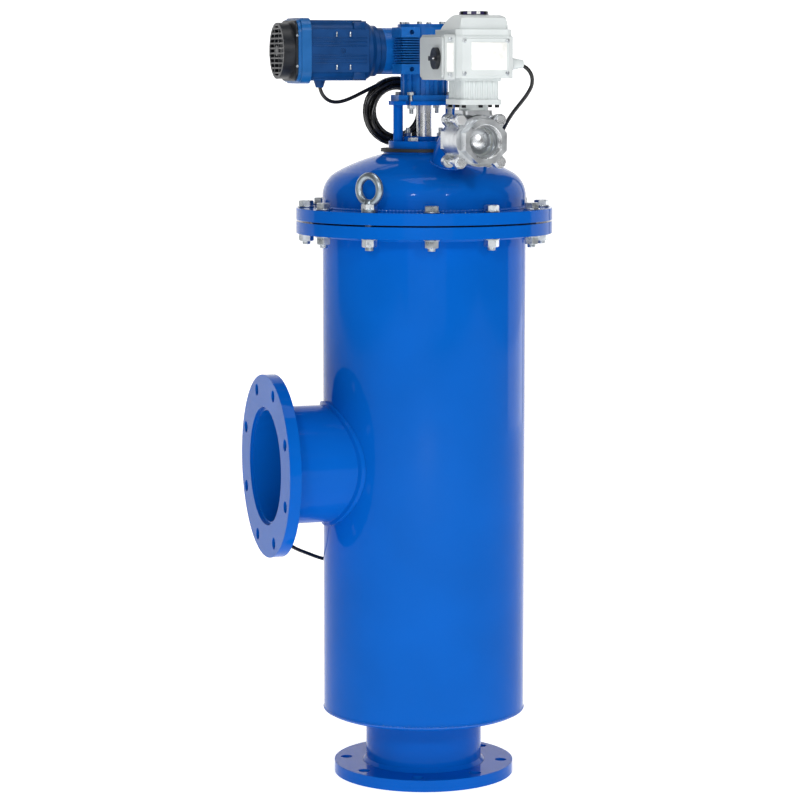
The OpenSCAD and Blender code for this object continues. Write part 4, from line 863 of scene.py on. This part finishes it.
class FILTER_OT_valve_thread(Operator):
    """Cuts the ridges of the flush port's thread"""

    bl_idname = "filter.valve_thread"
    bl_label = "Thread Flush Port"

    def execute(self, context):
        pitch, depth, lead_in = 2.31 * MM, 23 * MM, 1.5 * MM
        wall, root, crest = 30.3 * MM, 30.1 * MM, 28.9 * MM
        count = int((depth - 2 * lead_in) / pitch)
        ridges = [(wall, lead_in)]
        for i in range(count):
            ridges += [(crest, lead_in + (i + 0.5) * pitch), (root, lead_in + (i + 1) * pitch)]
        ring = spun([*ridges, (wall, lead_in + (count + 0.2) * pitch)])
        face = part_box("valve_front_cap")[0][1]
        ring.matrix_world = facing((FLUSH_AXIS.x, face, FLUSH_AXIS.z), BEHIND)
        keep(ring, "flush_port_thread", "turned")
        return {"FINISHED"}


class FILTER_OT_actuator_trim(Operator):
    """Adds the actuator's bare plates and its screws"""

    bl_idname = "filter.actuator_trim"
    bl_label = "Add Actuator Trim"

    def execute(self, context):
        low, high = corners("actuator_body")
        side_low, side_high = corners("actuator_side_cover")
        level = (side_low.z + side_high.z) / 2
        centre = (low.x + high.x) / 2
        side_centre = (side_low.x + side_high.x) / 2 + 2 * MM
        sunk, plate_right, plate_up = 0.2 * MM, 6 * MM, 2 * MM
        plate = block(*PLATE_BLOCK)
        plate.matrix_world = facing((centre + plate_right, low.y + sunk, level + plate_up), AHEAD)
        strip = block(*STRIP_BLOCK)
        strip.matrix_world = facing((side_centre, side_low.y + sunk, level), AHEAD)
        keep(joined([plate, strip]), "actuator_bare_plates", "mark")
        cover_screw = 3.8 * MM
        places = [facing((centre + x, low.y, level + z), AHEAD)
                  for x in both(40 * MM) for z in both(28 * MM)]
        places += [facing((side_centre, side_low.y, level + z), AHEAD) for z in both(31 * MM)]
        keep(repeated(pan_head(cover_screw), places), "actuator_cover_screws", "zinc")
        flange, head_radius, head_height = 9.5 * MM, 4 * MM, 5 * MM
        under = corners("actuator_base")[1].z - flange
        spots = [(x, y) for x in both(31 * MM) for y in (-37 * MM, 0, 37 * MM)]
        spots += [(0, y) for y in both(38 * MM)]
        heads = repeated(socket_head(head_radius, head_height),
                         [facing((STEM_AXIS.x + x, STEM_AXIS.y + y, under), DOWN) for x, y in spots])
        keep(heads, "actuator_base_screws", "blackened")
        return {"FINISHED"}


# The marks round the dial: name, slot, finish and angles in degrees
DIAL_MARKS = (
    ("dial_marks", "seat", "mark", (-127, -92, 53, 88)),
    ("dial_notches", "core_steel", "blackened", (-162, -57, 18, 123)),
)


class FILTER_OT_dial_marks(Operator):
    """Adds the rim and the marks of the position dial, and the mark of the selector knob"""

    bl_idname = "filter.dial_marks"
    bl_label = "Mark Dial and Knob"

    def execute(self, context):
        low, high = corners("position_dial")
        reach = (high.x - low.x) / 2
        base, top = low.z + 0.2 * MM, high.z - 1 * MM
        inner, outer = reach - 5 * MM, reach - 0.2 * MM
        bevel, lip = 1.2 * MM, 1 * MM
        ring = spun([(inner, base), (outer, base), (outer, top - bevel), (outer - bevel, top),
                     (inner + lip, top), (inner, top - lip)])
        ring.location = (STEM_AXIS.x, STEM_AXIS.y, 0)
        keep(ring, "dial_rim", "dial", body="valve")
        centre = Vector((STEM_AXIS.x, STEM_AXIS.y, (base + top) / 2))
        width, margin, proud, edge, sunk = 7 * MM, 1.4 * MM, 1.2 * MM, 0.4 * MM, 0.8 * MM
        for name, slot, look, turns in DIAL_MARKS:
            angles = [math.radians(turn) for turn in turns]
            ways = [Vector((math.cos(a), math.sin(a), 0)) for a in angles]
            marks = repeated(block(width, top - base - margin, proud, edge),
                             [facing(centre + way * (reach - sunk), way) for way in ways])
            keep(marks, name, look, body="valve")
        low, high = corners("selector_knob")
        mark_sunk, mark_in = 0.3 * MM, 8 * MM
        mark = block(*KNOB_MARK_BLOCK)
        mark.matrix_world = facing(
            (low.x + mark_sunk, low.y + mark_in, (low.z + high.z) / 2), LEFT, math.pi / 2)
        keep(mark, "knob_mark", "mark", body="knob")
        return {"FINISHED"}


# The studio's lights: name, place and width in metres, power in watts, and whether gloss mirrors the light
LIGHTS = (
    ("front_softbox", (-1.5, -5.6, 2.6), 5.0, 50, True),
    ("low_softbox", (-1.3, -4.9, 0.6), 1.6, 50, False),
    ("left_softbox", (-4.6, -2.4, 2.6), 1.6, 6, True),
    ("right_softbox", (4.7, 1.7, 1.3), 3.6, 60, True),
    ("top_softbox", (0, -0.6, 4.4), 1.8, 34, True),
    ("left_key_light", (-2.6, -4.4, 2.9), 0.35, 44, True),
    ("right_key_light", (0.7, -5.2, 2.9), 0.35, 44, True),
)
LIGHT_AIM = (0, 0, 0.8)
# Glow of the room's air and of the paper
ROOM_GLOW, PAPER_GLOW = 0.15, 0.72
# The paper sweep in metres: its width, its height behind the filter, and the radius of its curl
SWEEP_WIDTH, SWEEP_HEIGHT, SWEEP_CURL = 16, 9, 1.5
# The camera's place in metres, its tilt and pan in degrees, and its lens and sensor in millimetres
CAMERA_PLACE = (-1.632, -4.880, 1.338)
CAMERA_TILT, CAMERA_PAN = 83.06, -17.99
CAMERA_LENS, CAMERA_SENSOR = 123.86, 36


class FILTER_OT_stage(Operator):
    """Sets up the white studio: a lit paper sweep, soft lights and the camera"""

    bl_idname = "filter.stage"
    bl_label = "Set Stage"

    def execute(self, context):
        deselect()
        scene = context.scene
        scene.view_settings.view_transform = "Standard"
        world = bpy.data.worlds.new("white_studio")
        world.use_nodes = True
        background = world.node_tree.nodes["Background"]
        background.inputs["Color"].default_value = (1, 1, 1, 1)
        background.inputs["Strength"].default_value = ROOM_GLOW
        scene.world = world
        bpy.ops.mesh.primitive_plane_add(size=SWEEP_WIDTH)
        sweep = context.object
        bpy.ops.object.mode_set(mode="EDIT")
        bpy.ops.mesh.select_mode(type="EDGE")
        bpy.ops.mesh.select_all(action="DESELECT")
        bpy.ops.object.mode_set(mode="OBJECT")
        for edge in sweep.data.edges:
            edge.select = all(sweep.data.vertices[i].co.y > 0 for i in edge.vertices)
        bpy.ops.object.mode_set(mode="EDIT")
        bpy.ops.mesh.extrude_region_move(TRANSFORM_OT_translate={"value": (0, 0, SWEEP_HEIGHT)})
        bpy.ops.mesh.select_all(action="SELECT")
        bpy.ops.object.mode_set(mode="OBJECT")
        curl = sweep.modifiers.new("curl", "BEVEL")
        curl.width = SWEEP_CURL
        curl.segments = 12
        curl.limit_method = "ANGLE"
        bpy.ops.object.modifier_apply(modifier=curl.name)
        bpy.ops.object.shade_smooth()
        sweep.name = "studio_sweep"
        # Lit white paper: a plain glow that keeps the background white
        sweep.data.materials.append(finish(
            "lit_studio_paper", (linear("f2f2f2"), linear("f8f8f8")), (0.8, 0.9), 900 * MM,
            grained(4 * MM), 0.02 * MM, Emission_Color=(1, 1, 1, 1), Emission_Strength=PAPER_GLOW))
        for name, place, width, power, mirrored in LIGHTS:
            bpy.ops.object.light_add(type="AREA", location=place)
            light = context.object
            light.name = name
            light.data.size = width
            light.data.energy = power
            light.visible_glossy = mirrored
            aim = Vector(LIGHT_AIM) - light.location
            light.rotation_euler = aim.to_track_quat("-Z", "Y").to_euler()
        bpy.ops.object.camera_add(
            location=CAMERA_PLACE, rotation=(math.radians(CAMERA_TILT), 0, math.radians(CAMERA_PAN)))
        camera = context.object
        camera.name = "studio_camera"
        camera.data.sensor_width = CAMERA_SENSOR
        camera.data.lens = CAMERA_LENS
        scene.camera = camera
        deselect()
        return {"FINISHED"}


class FILTER_PT_sidebar(Panel):
    """Lists the steps that dress the filter"""

    bl_label = "Self Cleaning Filter"
    bl_idname = "FILTER_PT_sidebar"
    bl_space_type = "VIEW_3D"
    bl_region_type = "UI"
    bl_category = "Filter"

    def draw(self, context):
        for group in settings():
            for name in group.__annotations__:
                self.layout.prop(group, name)
        for step in STEPS:
            self.layout.operator(step.bl_idname)


STEPS = (
    FILTER_OT_finishes, FILTER_OT_stage, FILTER_OT_cables, FILTER_OT_cover_fasteners, FILTER_OT_welds,
    FILTER_OT_motor_frame, FILTER_OT_drive_screws, FILTER_OT_valve_thread, FILTER_OT_actuator_trim,
    FILTER_OT_dial_marks,
)
CLASSES = (FilterColours, FilterSizes, *STEPS, FILTER_PT_sidebar)


def register():
    """Registers the classes and the scene's settings."""
    for cls in CLASSES:
        bpy.utils.register_class(cls)
    bpy.types.Scene.filter_colours = PointerProperty(type=FilterColours)
    bpy.types.Scene.filter_sizes = PointerProperty(type=FilterSizes)


def unregister():
    """Removes the settings and the classes."""
    del bpy.types.Scene.filter_sizes
    del bpy.types.Scene.filter_colours
    for cls in reversed(CLASSES):
        bpy.utils.unregister_class(cls)


def main():
    """Runs every step in order."""
    register()
    bpy.ops.filter.finishes()
    bpy.ops.filter.stage()
    bpy.ops.filter.cables()
    bpy.ops.filter.cover_fasteners()
    bpy.ops.filter.welds()
    bpy.ops.filter.motor_frame()
    bpy.ops.filter.drive_screws()
    bpy.ops.filter.valve_thread()
    bpy.ops.filter.actuator_trim()
    bpy.ops.filter.dial_marks()


if __name__ == "__main__":
    main()
